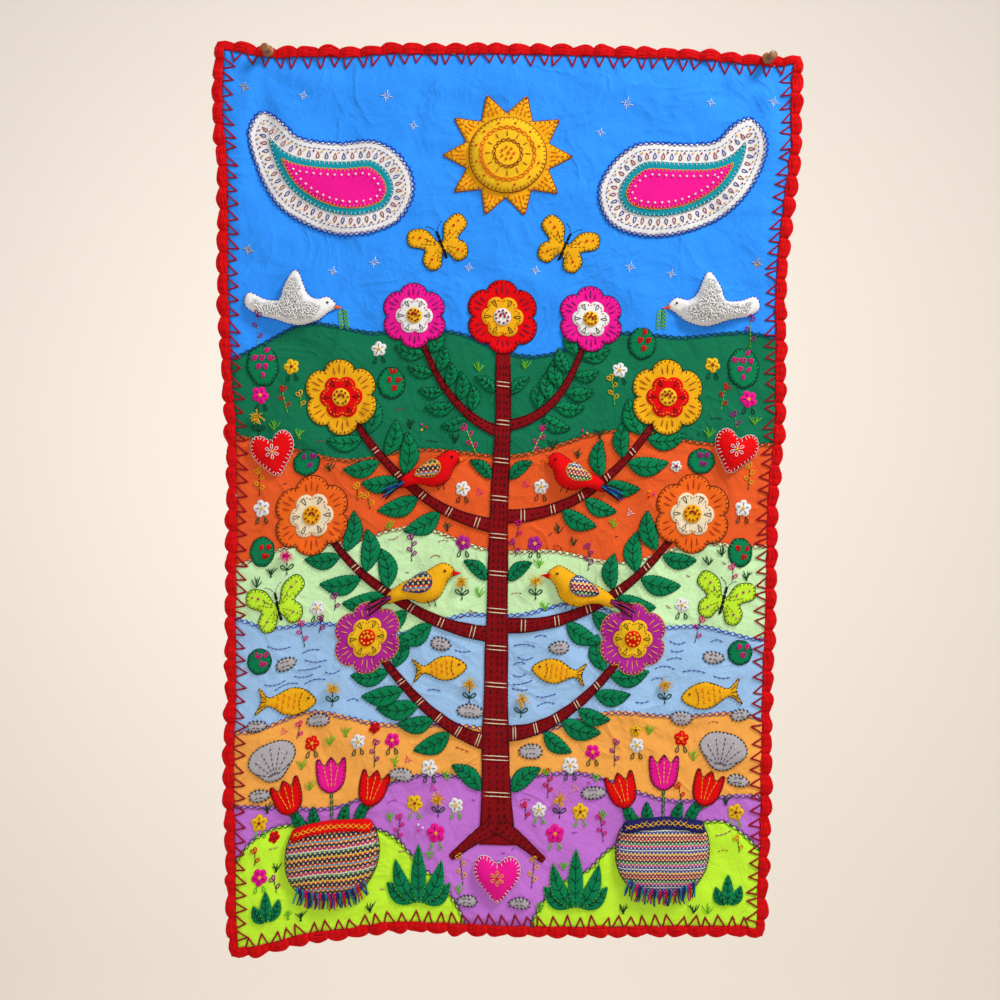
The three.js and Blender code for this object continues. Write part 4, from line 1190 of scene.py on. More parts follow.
FLAT = [
    ("sun_rays", "rays", dict(a=0, b=104, r=64), "yellow", "felt_yellow"),
    ("paisley_left", "paisley", dict(a=-172, b=122, scale=1.12, turn=-8, mirror=True), "white", "felt_white"),
    ("paisley_right", "paisley", dict(a=172, b=122, scale=1.12, turn=8), "white", "felt_white"),
    ("blossom_top", "blossom", dict(a=0, b=268, r=37), "red", "felt_red"),
    ("blossom_upper_left", "blossom", dict(a=-90, b=268, r=33), "pink", "felt_pink"),
    ("blossom_upper_right", "blossom", dict(a=90, b=268, r=33), "pink", "felt_pink"),
    ("blossom_mid_left", "blossom", dict(a=-168, b=346, r=38), "yellow", "felt_yellow"),
    ("blossom_mid_right", "blossom", dict(a=168, b=346, r=38), "yellow", "felt_yellow"),
    ("blossom_wide_left", "blossom", dict(a=-200, b=464, r=40), "tangerine", "felt_orange"),
    ("blossom_wide_right", "blossom", dict(a=200, b=464, r=40), "tangerine", "felt_orange"),
    ("blossom_low_left", "blossom", dict(a=-140, b=592, r=36), "magenta", "felt_purple"),
    ("blossom_low_right", "blossom", dict(a=140, b=592, r=36), "magenta", "felt_purple"),
    ("butterfly_upper_left", "butterfly", dict(a=-62, b=196, turn=22), "yellow", "felt_yellow"),
    ("butterfly_upper_right", "butterfly", dict(a=62, b=196, turn=-22), "yellow", "felt_yellow"),
    ("butterfly_lower_left", "butterfly", dict(a=-234, b=552, turn=14), "lime", "felt_lime"),
    ("butterfly_lower_right", "butterfly", dict(a=234, b=552, turn=-14), "lime", "felt_lime"),
    ("fish_left", "fish", dict(a=-224, b=648, turn=-8), "yellow", "felt_yellow"),
    ("fish_inner_left", "fish", dict(a=-62, b=626, turn=6, scale=0.9), "yellow", "felt_yellow"),
    ("fish_inner_right", "fish", dict(a=62, b=626, turn=-6, scale=0.9, mirror=True), "yellow", "felt_yellow"),
    ("fish_right", "fish", dict(a=224, b=648, turn=8, mirror=True), "yellow", "felt_yellow"),
    ("shell_left", "shell", dict(a=-238, b=706, turn=10, scale=1.1), "grey", "felt_grey"),
    ("shell_right", "shell", dict(a=238, b=706, turn=-10, scale=1.1), "grey", "felt_grey"),
    ("tulip_left_outer", "tulip", dict(a=-222, b=744, turn=16), "red", "felt_red"),
    ("tulip_left_middle", "tulip", dict(a=-176, b=728), "pink", "felt_pink"),
    ("tulip_left_inner", "tulip", dict(a=-132, b=746, turn=-16), "red", "felt_red"),
    ("tulip_right_inner", "tulip", dict(a=132, b=746, turn=16), "red", "felt_red"),
    ("tulip_right_middle", "tulip", dict(a=176, b=728), "pink", "felt_pink"),
    ("tulip_right_outer", "tulip", dict(a=222, b=744, turn=-16), "red", "felt_red"),
]
STUFFED = [
    ("sun_disc", "disc", dict(a=0, b=104, r=38), 7.5, "gold", "felt_yellow"),
    ("dove_left", "dove", dict(a=-212, b=254, turn=-6, scale=0.92), 8.6, "white", "felt_white"),
    ("dove_right", "dove", dict(a=212, b=254, turn=6, mirror=True, scale=0.92), 8.6, "white", "felt_white"),
    ("songbird_upper_left", "songbird", dict(a=-74, b=424, turn=8), 10.4, "red", "felt_red"),
    ("songbird_upper_right", "songbird", dict(a=74, b=424, turn=-8, mirror=True), 10.4, "red", "felt_red"),
    ("songbird_lower_left", "songbird", dict(a=-82, b=540, turn=6, scale=1.12), 10.4, "yellow", "felt_yellow"),
    ("songbird_lower_right", "songbird", dict(a=82, b=540, turn=-6, scale=1.12, mirror=True), 10.4, "yellow", "felt_yellow"),
    ("heart_left", "heart", dict(a=-240, b=398, r=22, turn=12), 8.6, "red", "felt_red"),
    ("heart_right", "heart", dict(a=240, b=398, r=22, turn=-12), 8.6, "red", "felt_red"),
    ("heart_base", "heart", dict(a=0, b=836, r=24), 9.4, "pink", "felt_pink"),
    ("pot_left", "pot", dict(a=-176, b=812), 13.0, "woven", "woven_stripe"),
    ("pot_right", "pot", dict(a=176, b=812), 13.0, "woven", "woven_stripe"),
]

keep_off = [dict(a=-74, b=424, clear=30), dict(a=74, b=424, clear=30), dict(a=-82, b=540, clear=32), dict(a=82, b=540, clear=32), dict(a=-62, b=626, clear=30), dict(a=62, b=626, clear=30), dict(a=-90, b=630, clear=20), dict(a=90, b=630, clear=20), dict(a=-240, b=398, clear=34), dict(a=240, b=398, clear=34), dict(a=-212, b=254, clear=44), dict(a=212, b=254, clear=44)]
g0 = np.random.default_rng(5)
for bi, row in enumerate(TREE[3:]):
    sgn = -1 if bi % 2 == 0 else 1
    for k, t in enumerate((0.3, 0.44, 0.58, 0.72, 0.86)):
        p, d, w = branch(row, t)
        base_angle = math.degrees(math.atan2(-d[1], d[0]))
        for s in (1, -1):
            ang = base_angle + s * (48 + g0.uniform(-8, 8))
            L = (40 if bi < 6 else 29) * g0.uniform(0.9, 1.12)
            r = math.radians(ang)
            start = p + np.array([math.cos(r), -math.sin(r)]) * (w + 1.5)
            tip = start + np.array([math.cos(r), -math.sin(r)]) * L
            mid = (start + tip) / 2
            if clear(tip, keep_off) and clear(mid, keep_off) and abs(tip[0]) < 262:
                leaf(start, ang, L, L * 0.46, curl=0.10 * s)
for b_, L in ((648, 34), (748, 40), (535, 32), (432, 30), (345, 26)):
    for s in (-1, 1):
        p, d, w = branch(TREE[0], (803 - b_) / 503)
        start = np.array([p[0] + s * (w + 0.5), b_])
        ang = 90 - s * 52
        tip = start + np.array([math.cos(math.radians(ang)), -math.sin(math.radians(ang))]) * L
        if clear(tip, keep_off) and clear((start + tip) / 2, keep_off):
            leaf(start, ang, L, L * 0.46, curl=0.10 * s)

# ------------------------------------------------------------------ flat felt
PETAL = {"red": ("yellow", "white"), "pink": ("white", "gold"), "yellow": ("red", "gold"), "tangerine": ("cream", "yellow"), "magenta": ("gold", "red")}
layer_piles = {}


def small(colour, poly, thick=1.0, row=None, **more):
    v, f, loc, _ = felt([poly], thick, row, step=more.pop("step", 3.6), edge=more.pop("edge", 2.0), **more)
    layer_piles.setdefault(colour, Pile()).add(v, f, loc)


def deco_blossom(row, colour):
    R = row["r"]
    mid, core = PETAL[colour]
    edge = spot(row, blossom(R))
    blanket("black" if colour != "magenta" else "gold", edge, pitch=4.8, depth=3.2, r=0.5)
    for k in range(6):
        t = math.radians(60 * k + 30)
        for off, r0, r1 in ((0, 0.62, 0.90), (0.2, 0.60, 0.82), (-0.2, 0.60, 0.82)):
            q = spot(row, [(R * r0 * math.cos(t + off), R * r0 * math.sin(t + off)), (R * r1 * math.cos(t + off), R * r1 * math.sin(t + off))])
            stitch("crimson" if colour in ("yellow", "tangerine") else "gold" if colour == "magenta" else "night", q[0], q[1], 0.5)
    small(mid, spot(row, blossom(R * 0.58, 6, 0.24, math.radians(30))), row=row)
    line("crimson" if mid != "red" else "gold", spot(row, blossom(R * 0.50, 6, 0.24, math.radians(30))), r=0.45, length=4.0, gap=1.4, closed=True)
    for k in range(6):
        t = math.radians(60 * k)
        p = spot(row, [(R * 0.30 * math.cos(t), R * 0.30 * math.sin(t))])[0]
        daisy("black", p, -math.degrees(t) if not row.get("mirror") else -math.degrees(t), R * 0.2, R * 0.08, 0.42)
    small(core, spot(row, circle(R * 0.24, 24)), row=row, thick=1.2)
    g = rng()
    for k in range(14):
        t = 2 * np.pi * k / 9.0
        rr = R * (0.17 if k < 9 else 0.07)
        q = spot(row, [(rr * math.cos(t), rr * math.sin(t))])[0]
        knot("crimson" if core != "red" else "gold", q + g.normal(0, 0.3, 2), 1.35)


def deco_rays(row):
    p = spot(row, outline("rays", row))
    blanket("crimson", p, pitch=4.6, depth=3.2, r=0.5)
    for k in range(10):
        t = math.radians(36 * k)
        q = spot(row, [(42 * math.cos(t), 42 * math.sin(t)), (57 * math.cos(t), 57 * math.sin(t))])
        line("tangerine", q, r=0.7, length=5, gap=0.6)
        for s in (-1, 1):
            q = spot(row, [(42 * math.cos(t + s * 0.11), 42 * math.sin(t + s * 0.11)), (50 * math.cos(t + s * 0.07), 50 * math.sin(t + s * 0.07))])
            stitch("tangerine", q[0], q[1], 0.5)


def inset(poly, d, spacing=3.0):
    """A closed line d inside a closed outline."""
    q, t, n = frames(poly, 1.5)
    p = q + n * d
    away = seg_distance(p, q, np.roll(q, -1, 0))
    p = p[away > d * 0.93]
    for _ in range(3):
        p = (np.roll(p, 1, 0) + 2 * p + np.roll(p, -1, 0)) / 4
    return resample(p, spacing)


def deco_paisley(row, pale="water"):
    edge = spot(row, outline("paisley", row))
    cross_edge("blue", edge, pitch=5.6, width=5.2, r=0.5)
    line("blue", inset(edge, 7), r=0.55, length=4.6, gap=1.5, closed=True)
    qq, tt, nn = frames(inset(edge, 10), 8.5)
    done = []
    for i in range(len(qq)):
        mid = qq[i] + nn[i] * 3.3
        if any(np.hypot(*(mid - m)) < 6.2 for m in done):
            continue
        done.append(mid)
        daisy("blue" if i % 2 else "crimson", qq[i], math.degrees(math.atan2(nn[i][1], nn[i][0])), 6.6, 3.0, 0.55)
        knot("crimson" if i % 2 else "gold", qq[i] + tt[i] * 4.2 - nn[i] * 0.5, 1.15)
    band = inset(edge, 19.5)
    v, f, loc, _ = felt([band], 1.0, row, step=4, edge=2.2)
    layer_piles.setdefault("teal", Pile()).add(v, f, loc)
    blanket("white", band, pitch=4.4, depth=2.8, r=0.5)
    core = inset(edge, 27)
    v, f, loc, _ = felt([core], 1.0, row, step=4, edge=2.2)
    layer_piles.setdefault("pink", Pile()).add(v, f, loc)
    blanket("gold", core, pitch=4.0, depth=2.4, r=0.5)
    qq, tt, nn = frames(inset(edge, 33), 7)
    for i in range(len(qq)):
        knot("white", qq[i], 1.3)


def deco_butterfly(row, colour):
    o = spot(row, outline("butterfly", row))
    blanket("black", o, pitch=4.2, depth=2.4, r=0.48)
    body = spot(row, [(0, 13), (0, 5), (0, -4), (0, -14)])
    for off in (-0.8, 0, 0.8):
        line("black", body + np.array([off, 0]), r=0.85, length=5, gap=0.2)
    knot("black", spot(row, [(0, 14)])[0], 1.7)
    for s in (1, -1):
        line("black", spot(row, smooth([(0, 14), (s * 4, 21), (s * 9, 24)], 5, False)), r=0.42, length=3.6, gap=0.2)
        for x, y, k in ((18, 15, 1.5), (24, 18, 1.1), (12, 9, 1.1), (14, -10, 1.4), (18, -13, 1.0)):
            knot("red" if colour == "yellow" else "magenta", spot(row, [(s * x, y)])[0], k)
        for x0, y0, x1, y1 in ((4, 3, 14, 13), (5, 2, 20, 9), (4, -2, 13, -8), (4, -4, 10, -14)):
            q = spot(row, [(s * x0, y0), (s * x1, y1)])
            line("black", q, r=0.4, length=4.2, gap=0.8)


def deco_fish(row):
    o = spot(row, outline("fish", row))
    line("black", o, r=0.6, length=4.0, gap=0.6, closed=True)
    knot("black", spot(row, [(22, 3.2)])[0], 1.3)
    line("crimson", spot(row, smooth([(15, 9), (12.5, 0), (15, -9)], 5, False)), r=0.6, length=4, gap=0.4)
    for i, x in enumerate((8, 2, -4, -10)):
        for y in ((-6, 0, 6) if i % 2 == 0 else (-3.4, 3.4)):
            if abs(y) > 11 - abs(x) * 0.35:
                continue
            q = spot(row, [(x - 1.5, y + 2.4), (x + 0.8, y), (x - 1.5, y - 2.4)])
            stitch("tangerine", q[0], q[1], 0.5)
            stitch("tangerine", q[1], q[2], 0.5)
    for y in (-6, 0, 6):
        q = spot(row, [(-22, y * 0.3), (-30, y * 1.2)])
        stitch("black", q[0], q[1], 0.45)


def deco_shell(row):
    o = spot(row, outline("shell", row))
    line("black", o, r=0.75, length=4.0, gap=1.1, closed=True)
    for k in range(-3, 4):
        t = math.radians(90 - k * 24)
        L = 27 if abs(k) < 3 else 22
        q = spot(row, [(0.8 * k, -13), (L * math.cos(t) * 0.8, -13 + L * math.sin(t))])
        line("black" if k % 2 else "night", q, r=0.5, length=5, gap=1.2)
    line("white", spot(row, smooth([(-15, 3), (-8, 8), (0, 10), (8, 8), (15, 3)], 5, False)), r=0.5, length=4, gap=1.4)


def deco_tulip(row, colour):
    o = spot(row, outline("tulip", row))
    blanket("black", o, pitch=4.2, depth=2.4, r=0.45)
    for s in (-1, 0, 1):
        q = spot(row, [(s * 3, -12), (s * 5.5, 0), (s * 8, 10 if s else 12)])
        line("gold", q, r=0.5, length=4.5, gap=0.6)


for name, kind, row, colour, slot in FLAT:
    poly = spot(row, outline(kind, row))
    visual = name + "_felt"
    if kind == "tulip":
        continue
    piece(visual, [poly], 1.3, FELT[colour], slot, node=name, row=row, edge=1.8 if row.get("r", 0) < 50 else 2.2)
    if kind == "blossom":
        deco_blossom(row, colour)
    elif kind == "rays":
        deco_rays(row)
    elif kind == "paisley":
        deco_paisley(row)
    elif kind == "butterfly":
        deco_butterfly(row, colour)
    elif kind == "fish":
        deco_fish(row)
    elif kind == "shell":
        deco_shell(row)

# Tulips in the pots: stems and leaves first.
for side in (-1, 1):
    for a, b, top in ((222, 762, 778), (176, 746, 778), (132, 764, 778)):
        stem = smooth([(side * a, b), (side * (a * 0.6 + 176 * 0.4), (b + 780) / 2 + 2), (side * (a * 0.25 + 176 * 0.75), 782)], 8, False)
        for q in stem:
            take(q, 6)
        for off in (-0.9, 0, 0.9):
            line("forest" if off else "spring", stem + np.array([off, 0]), r=0.85, length=6, gap=0.3, slant=0.3)
    for a, ang, L in ((150, 118, 34), (202, 62, 34), (164, 102, 28), (190, 78, 28)):
        leaf((side * a, 784), ang if side > 0 else 180 - ang, L, 12, curl=0.08)
for name, kind, row, colour, slot in FLAT:
    if kind == "tulip":
        piece(name + "_felt", [spot(row, outline(kind, row))], 1.3, FELT[colour], slot, node=name, row=row, edge=1.6)
        deco_tulip(row, colour)

# ------------------------------------------------------------------ stuffed pieces
for name, kind, row, rise, colour, slot in STUFFED:
    mat = WOVEN_A if name == "pot_left" else WOVEN_B if name == "pot_right" else FELT[colour]
    o = outline(kind, row)
    poly = spot(row, o)
    piece(name + "_stuffed", [poly], 1.2, mat, slot, node=name, row=row, rise=rise, step=2.6, edge=1.6)
    if kind == "disc":
        blanket("crimson", poly, pitch=4.4, depth=3.0, r=0.5)
        loops("tangerine", spot(row, circle(26)), 7, 3.2, 0.6, closed=True)
        loops("crimson", spot(row, circle(13)), 6, 2.8, 0.55, closed=True)
        for k in range(12):
            t = 2 * np.pi * k / 12
            q = spot(row, [(17 * math.cos(t), 17 * math.sin(t)), (23 * math.cos(t), 23 * math.sin(t))])
            stitch("crimson", q[0], q[1], 0.5)
            knot("red", spot(row, [(32 * math.cos(t + 0.26), 32 * math.sin(t + 0.26))])[0], 1.3)
        for k in range(9):
            t = 2 * np.pi * k / 7
            knot("tangerine", spot(row, [((6 if k < 7 else 1) * math.cos(t), (6 if k < 7 else 1) * math.sin(t))])[0], 1.6)
    elif kind == "heart":
        blanket("white", poly, pitch=4.2, depth=3.2, r=0.55)
        for k in range(6):
            t = math.radians(60 * k + 30)
            p = spot(row, [(1.5 * math.cos(t), 2 + 1.5 * math.sin(t))])[0]
            daisy("white" if colour == "red" else "gold", p, -math.degrees(t), 6.0, 2.6, 0.5)
        knot("gold" if colour == "red" else "red", spot(row, [(0, 2)])[0], 1.7)
    elif kind == "songbird":
        line("black", poly, r=0.5, length=3.8, gap=0.9, closed=True)
        wing = smooth([(8, 6), (2, 10), (-10, 5), (-19, -3), (-12, -6), (0, -7), (8, -2)], 5)
        v, f, loc, _ = felt([spot(row, wing)], 1.0, row, step=3.0, edge=1.8)
        layer_piles.setdefault("woven_a" if "left" in name else "woven_b", Pile()).add(v, f, loc)
        blanket("gold" if colour == "red" else "blue", spot(row, wing), pitch=3.8, depth=2.0, r=0.45)
        beak = spot(row, [(29, 9.5), (37, 6.5), (29, 4.0)])
        small("tangerine" if colour == "red" else "red", beak, 0.9, step=2.6, edge=1.4)
        knot("black", spot(row, [(22, 10)])[0], 1.5)
        for k, y in enumerate(np.linspace(-15, -4, 7)):
            p0 = spot(row, [(-31, -9 + 0.25 * (y + 9))])[0]
            p1 = spot(row, [(-52 - 3 * (k % 2), y - 5)])[0]
            strand(["black", "blue", "teal"][k % 3] if colour == "red" else ["black", "magenta", "crimson"][k % 3], p0, p1, 1.0, 0.8, r=0.95, sag=2.0)
        for x in (3, 9):
            line("black", spot(row, [(x, -15), (x + 1.5, -22)]), r=0.55, length=4, gap=0.2)
    elif kind == "dove":
        line("blue", poly, r=0.5, length=3.8, gap=0.9, closed=True)
        body = smooth([(28, 4), (12, 8), (-2, 34), (-11, 20), (-14, 7), (-34, 4), (-46, 4), (-42, -4), (-18, -9), (6, -14), (24, -9)], 5)
        boucle("white", spot(row, body), spacing=2.7, r=0.62, size=1.7)
        small("tangerine", spot(row, [(45, 6.5), (54, 4), (45, 2)]), 0.9, step=2.6, edge=1.4)
        knot("black", spot(row, [(37, 8)])[0], 1.4)
        for k in range(5):
            p = spot(row, [(54 + 0.6 * k, 2 - 4 * k)])[0]
            for s in (-1, 1):
                daisy("spring", p, 90 + (-1 if row.get("mirror") else 1) * s * 50, 6, 2.8, 0.6)
        line("forest", spot(row, [(53, 4), (55, -6), (58, -17)]), r=0.6, length=4, gap=0.3)
    elif kind == "pot":
        blanket("black", poly, pitch=4.6, depth=2.6, r=0.5)
        rim = smooth([(-42, 34), (-20, 38), (0, 39), (20, 38), (42, 34), (43, 25), (20, 28), (0, 29), (-20, 28), (-43, 25)], 5)
        v, f, loc, _ = felt([spot(row, rim)], 1.3, row, step=3.2, edge=2.0)
        layer_piles.setdefault("red" if "left" in name else "night", Pile()).add(v, f, loc)
        cross_edge("gold", spot(row, smooth([(-38, 30), (-19, 33), (0, 34), (19, 33), (38, 30)], 6, False)), pitch=6, width=4.5, r=0.55, closed=False)
        g = rng()
        for k in np.arange(-36, 36.1, 1.9):
            y0 = -36 + 12 * (abs(k) / 38) ** 2.2
            p0 = spot(row, [(k, y0 + 3)])[0]
            p1 = spot(row, [(k * 1.1 + g.normal(0, 1.2), y0 - 13 - g.uniform(0, 4))])[0]
            p1[1] = min(p1[1], 872)
            strand(["teal", "blue", "magenta", "night", "red"][int(k + 36) % 5], p0, p1, 1.2, 0.6, r=0.85, sag=0.0, wave=1.2)
            take((p0 + p1) / 2, 8)
        for k in range(-42, 43, 6):
            take(spot(row, [(k, 36)])[0], 6)


# ------------------------------------------------------------------ small florets, sprigs, grass
def floret(p, r, colour, core="gold", vein="black"):
    row = {"a": p[0], "b": p[1]}
    turn = rng().uniform(0, 1.2)
    small(colour, spot(row, blossom(r, 5, 0.34, turn)), 1.0, step=3.2, edge=1.6)
    for k in range(5):
        t = turn + math.radians(72 * k + 36)
        q = spot(row, [(r * 0.3 * math.cos(t), r * 0.3 * math.sin(t)), (r * 0.74 * math.cos(t), r * 0.74 * math.sin(t))])
        stitch(vein, q[0], q[1], 0.4)
        UNDER.append((vein, q, 9.0, 0.4))
    for k in range(4):
        knot(core, (p[0] + 0.9 * math.cos(k * 1.6), p[1] + 0.9 * math.sin(k * 1.6)), 1.15)


def sprig(p, angle, length, n, stem="forest", bud="pink", lean=0.0):
    """A stem with looped buds on both sides."""
    t = math.radians(angle)
    d = np.array([math.cos(t), -math.sin(t)])
    w = np.array([d[1], -d[0]])
    k = np.linspace(0, 1, 12)
    c = np.asarray(p, float) + d * (length * k)[:, None] + w * (lean * length * k * k)[:, None]
    line(stem, c, r=0.6, length=4.2, gap=0.2, slant=0.25)
    UNDER.append((stem, c, 3.8, 1.2))
    for i in range(n):
        q = c[3 + int(i * 8 / max(n - 1, 1))]
        s = 1 if i % 2 else -1
        daisy(bud, q, -(angle + s * 48), 6.2, 3.0, 0.7)
    daisy(bud, c[-1], -angle, 6.6, 3.2, 0.75)


def grass(p, n=5, length=12, colour="spring"):
    g = rng()
    for k in range(n):
        ang = math.radians(90 + (k - (n - 1) / 2) * 17 + g.normal(0, 4))
        l = length * g.uniform(0.75, 1.15)
        q = np.array([p[0] + l * math.cos(ang), p[1] - l * math.sin(ang)])
        stitch(colour, np.asarray(p, float) + np.array([(k - n / 2) * 0.7, 0]), q, 0.6, arch=0.5, n=5, bow=g.normal(0, 0.8))
        if k % 2:
            UNDER.append((colour, np.array([p, q]), 30.0, 0.4))


def star(p, r, colour="white", n=8):
    for k in range(n):
        t = 2 * math.pi * k / n + 0.2
        rr = r if k % 2 == 0 else r * 0.62
        stitch(colour, (p[0] + 0.8 * math.cos(t), p[1] + 0.8 * math.sin(t)), (p[0] + rr * math.cos(t), p[1] + rr * math.sin(t)), 0.5)


for x, y, r in ((-118, 44, 7), (118, 48, 7), (-258, 34, 6), (262, 38, 6), (-92, 74, 5), (92, 78, 5), (-258, 196, 6), (258, 204, 6), (-130, 212, 6), (130, 214, 6), (-34, 218, 5), (34, 220, 5), (-172, 218, 5), (172, 220, 5), (-200, 40, 5), (200, 44, 5)):
    star((x, y), r, "white" if (int(abs(x)) % 3) else "gold")

FLORETS = [
    (-262, 318, 9, "pink"), (262, 322, 9, "pink"), (-124, 300, 8, "white"), (124, 302, 8, "white"), (-214, 312, 8, "gold"), (214, 314, 8, "gold"),
    (-46, 338, 9, "gold"), (46, 340, 9, "gold"), (-262, 452, 9, "white"), (262, 456, 9, "white"), (-128, 424, 8, "pink"), (128, 428, 8, "pink"),
    (-42, 446, 8, "white"), (42, 448, 8, "white"), (-262, 500, 8, "pink"), (262, 504, 8, "pink"), (-138, 520, 9, "red"), (138, 522, 9, "red"),
    (-38, 500, 8, "magenta"), (38, 502, 8, "magenta"), (-196, 540, 8, "white"), (196, 540, 8, "white"), (-262, 604, 8, "red"), (262, 606, 8, "red"),
    (-34, 708, 9, "red"), (34, 710, 9, "red"), (-76, 716, 9, "white"), (76, 718, 9, "white"), (-100, 690, 8, "pink"), (100, 692, 8, "pink"),
    (-196, 700, 8, "red"), (196, 702, 8, "red"), (-150, 698, 8, "white"), (150, 700, 8, "white"),
    (-262, 764, 9, "gold"), (262, 768, 9, "gold"), (-60, 800, 10, "pink"), (60, 802, 10, "pink"), (-88, 764, 9, "gold"), (88, 768, 9, "gold"),
    (-44, 764, 8, "white"), (44, 766, 8, "white"), (-256, 838, 9, "pink"), (256, 840, 9, "pink"), (-106, 852, 9, "red"), (106, 852, 9, "red"), (-70, 862, 8, "magenta"), (70, 864, 8, "magenta"),
]


def plant(p, lengths, width, vein="black", hem="spring", spread=26):
    """A fan of large felt leaves."""
    n = len(lengths)
    order = sorted(range(n), key=lambda k: -abs(k - (n - 1) / 2))
    for k in order:
        ang = 90 - (k - (n - 1) / 2) * spread
        t = math.radians(ang)
        start = np.asarray(p, float) + np.array([(k - (n - 1) / 2) * 3.0, 0])
        leaf(start, ang, lengths[k], width, vein=vein, thick=1.1, curl=-0.10 * np.sign(k - (n - 1) / 2), hem=hem)


def pebble(p, w, h, turn=0.0):
    row = {"a": p[0], "b": p[1], "turn": turn}
    t = 2 * np.pi * np.arange(40) / 40
    g = rng()
    wob = 1 + 0.06 * np.sin(2 * t + g.uniform(0, 6)) + 0.04 * np.sin(3 * t + g.uniform(0, 6))
    o = np.stack([w / 2 * np.cos(t) * wob, h / 2 * np.sin(t) * wob], 1)
    small("grey", spot(row, o), 1.3, row=row, edge=1.8)
    q, tt, nn = frames(spot(row, o), 4.2)
    for i in range(len(q)):
        stitch("black", q[i] - nn[i] * 1.6 + tt[i] * 0.8, q[i] + nn[i] * 1.8 - tt[i] * 0.6, 0.5)
        stitch("black", q[i] - tt[i] * 1.8, q[i] + tt[i] * 1.8, 0.45)
    for y in (-0.2, 0.18):
        c = smooth([(-w * 0.24, h * y), (0, h * y + 1.2), (w * 0.2, h * y)], 4, False)
        line("black", spot(row, c), r=0.5, length=4.2, gap=1.0)


def bush(p, rx, ry, berry):
    row = {"a": p[0], "b": p[1]}
    t = 2 * np.pi * np.arange(90) / 90
    g = rng()
    k = 1 + 0.07 * np.abs(np.sin(3.5 * t + g.uniform(0, 3)))
    o = np.stack([rx * np.cos(t) * k, ry * np.sin(t) * k], 1)
    small("leaf", spot(row, o), 1.2, row=row, edge=2.0)
    blanket("black", spot(row, o), pitch=4.6, depth=2.4, r=0.45)
    for y in np.arange(-ry + 7, ry - 5, 8.5):
        for x in np.arange(-rx + 6, rx - 4, 8.5):
            x2 = x + (4 if int((y + ry) / 8.5) % 2 else 0)
            if (x2 / (rx - 4)) ** 2 + (y / (ry - 4)) ** 2 < 0.92:
                for k in range(2):
                    daisy(berry, spot(row, [(x2, y)])[0] + np.array([k * 1.6 - 0.8, 0]), -70 + g.uniform(-30, 30), 5.4, 2.6, 0.85)


for s_ in (-1, 1):
    for x, y, rx, ry, c in ((249, 312, 15, 19, "pink"), (116, 312, 13, 15, "red"), (214, 414, 13, 12, "magenta"), (36, 356, 13, 14, "gold"), (256, 484, 12, 14, "red"), (254, 604, 12, 12, "pink")):
        q = near_free((s_ * x, y), max(rx, ry) + 1, 34)
        if q is not None:
            bush(q, rx, ry, c)
    q = near_free((s_ * 88, 862), 6, 30)
    plant((s_ * 84, 865), (36, 50, 60, 50, 36), 16)
    plant((s_ * 247, 863), (22, 32, 24), 12, spread=28)
    for x, y, w, h, t in ((128, 864, 32, 17, 4), (222, 866, 26, 14, -6), (28, 872, 22, 11, 3), (40, 690, 26, 14, 4), (196, 664, 24, 13, -5), (256, 668, 20, 11, 6), (86, 596, 22, 12, 8), (226, 610, 22, 12, -8), (118, 742, 24, 13, 5), (250, 732, 22, 12, -4)):
        q = near_free((s_ * x, y), w * 0.42, 30)
        if q is not None:
            pebble(q, w, h, t * s_)

for x, y, r, c in FLORETS:
    q = near_free((x, y + 3.5), r + 4.5)
    if q is None:
        q = near_free((x, y + 3.5), r + 3)
    if q is None:
        continue
    x, y = q[0], q[1] - 3.5
    for k, ang in enumerate((250, 290)):
        q = np.array([x + math.cos(math.radians(ang)) * r, y - math.sin(math.radians(ang)) * r])
        daisy("forest" if y < 740 else "spring", q, -ang, 7, 3.2, 0.65)
        take(q, 4)
    floret((x, y), r, c, core="gold" if c != "gold" else "crimson", vein="black" if c != "red" else "gold")


def put_sprig(p, angle, length, n, stem, bud):
    t = math.radians(angle)
    half = np.array([math.cos(t), -math.sin(t)]) * length / 2
    q = near_free(np.asarray(p, float) + half, length * 0.5 + 3, 20)
    if q is None:
        q = near_free(np.asarray(p, float) + half, length * 0.42)
    if q is None:
        return
    take(q, length * 0.38)
    sprig(q - half, angle, length, n, stem, bud)


def put_grass(p, n=5, length=11, colour="spring"):
    q = near_free((p[0], p[1] - length / 2), length * 0.5)
    if q is None:
        return
    take(q, length * 0.4)
    grass((q[0], q[1] + length / 2), n, length, colour)


def thistle(p, height, head):
    """A cut-yarn head on a stitched stem with two leaf loops."""
    x, y = p
    line("forest", [(x, y + height), (x, y + 2)], r=0.8, length=5, gap=0.3)
    for ang in (-38, -142):
        daisy("forest", (x, y + height * 0.75), ang, 8.5, 3.4, 0.7)
    tuft(head, (x, y), n=44, length=8, r=0.42, spread=1.0)


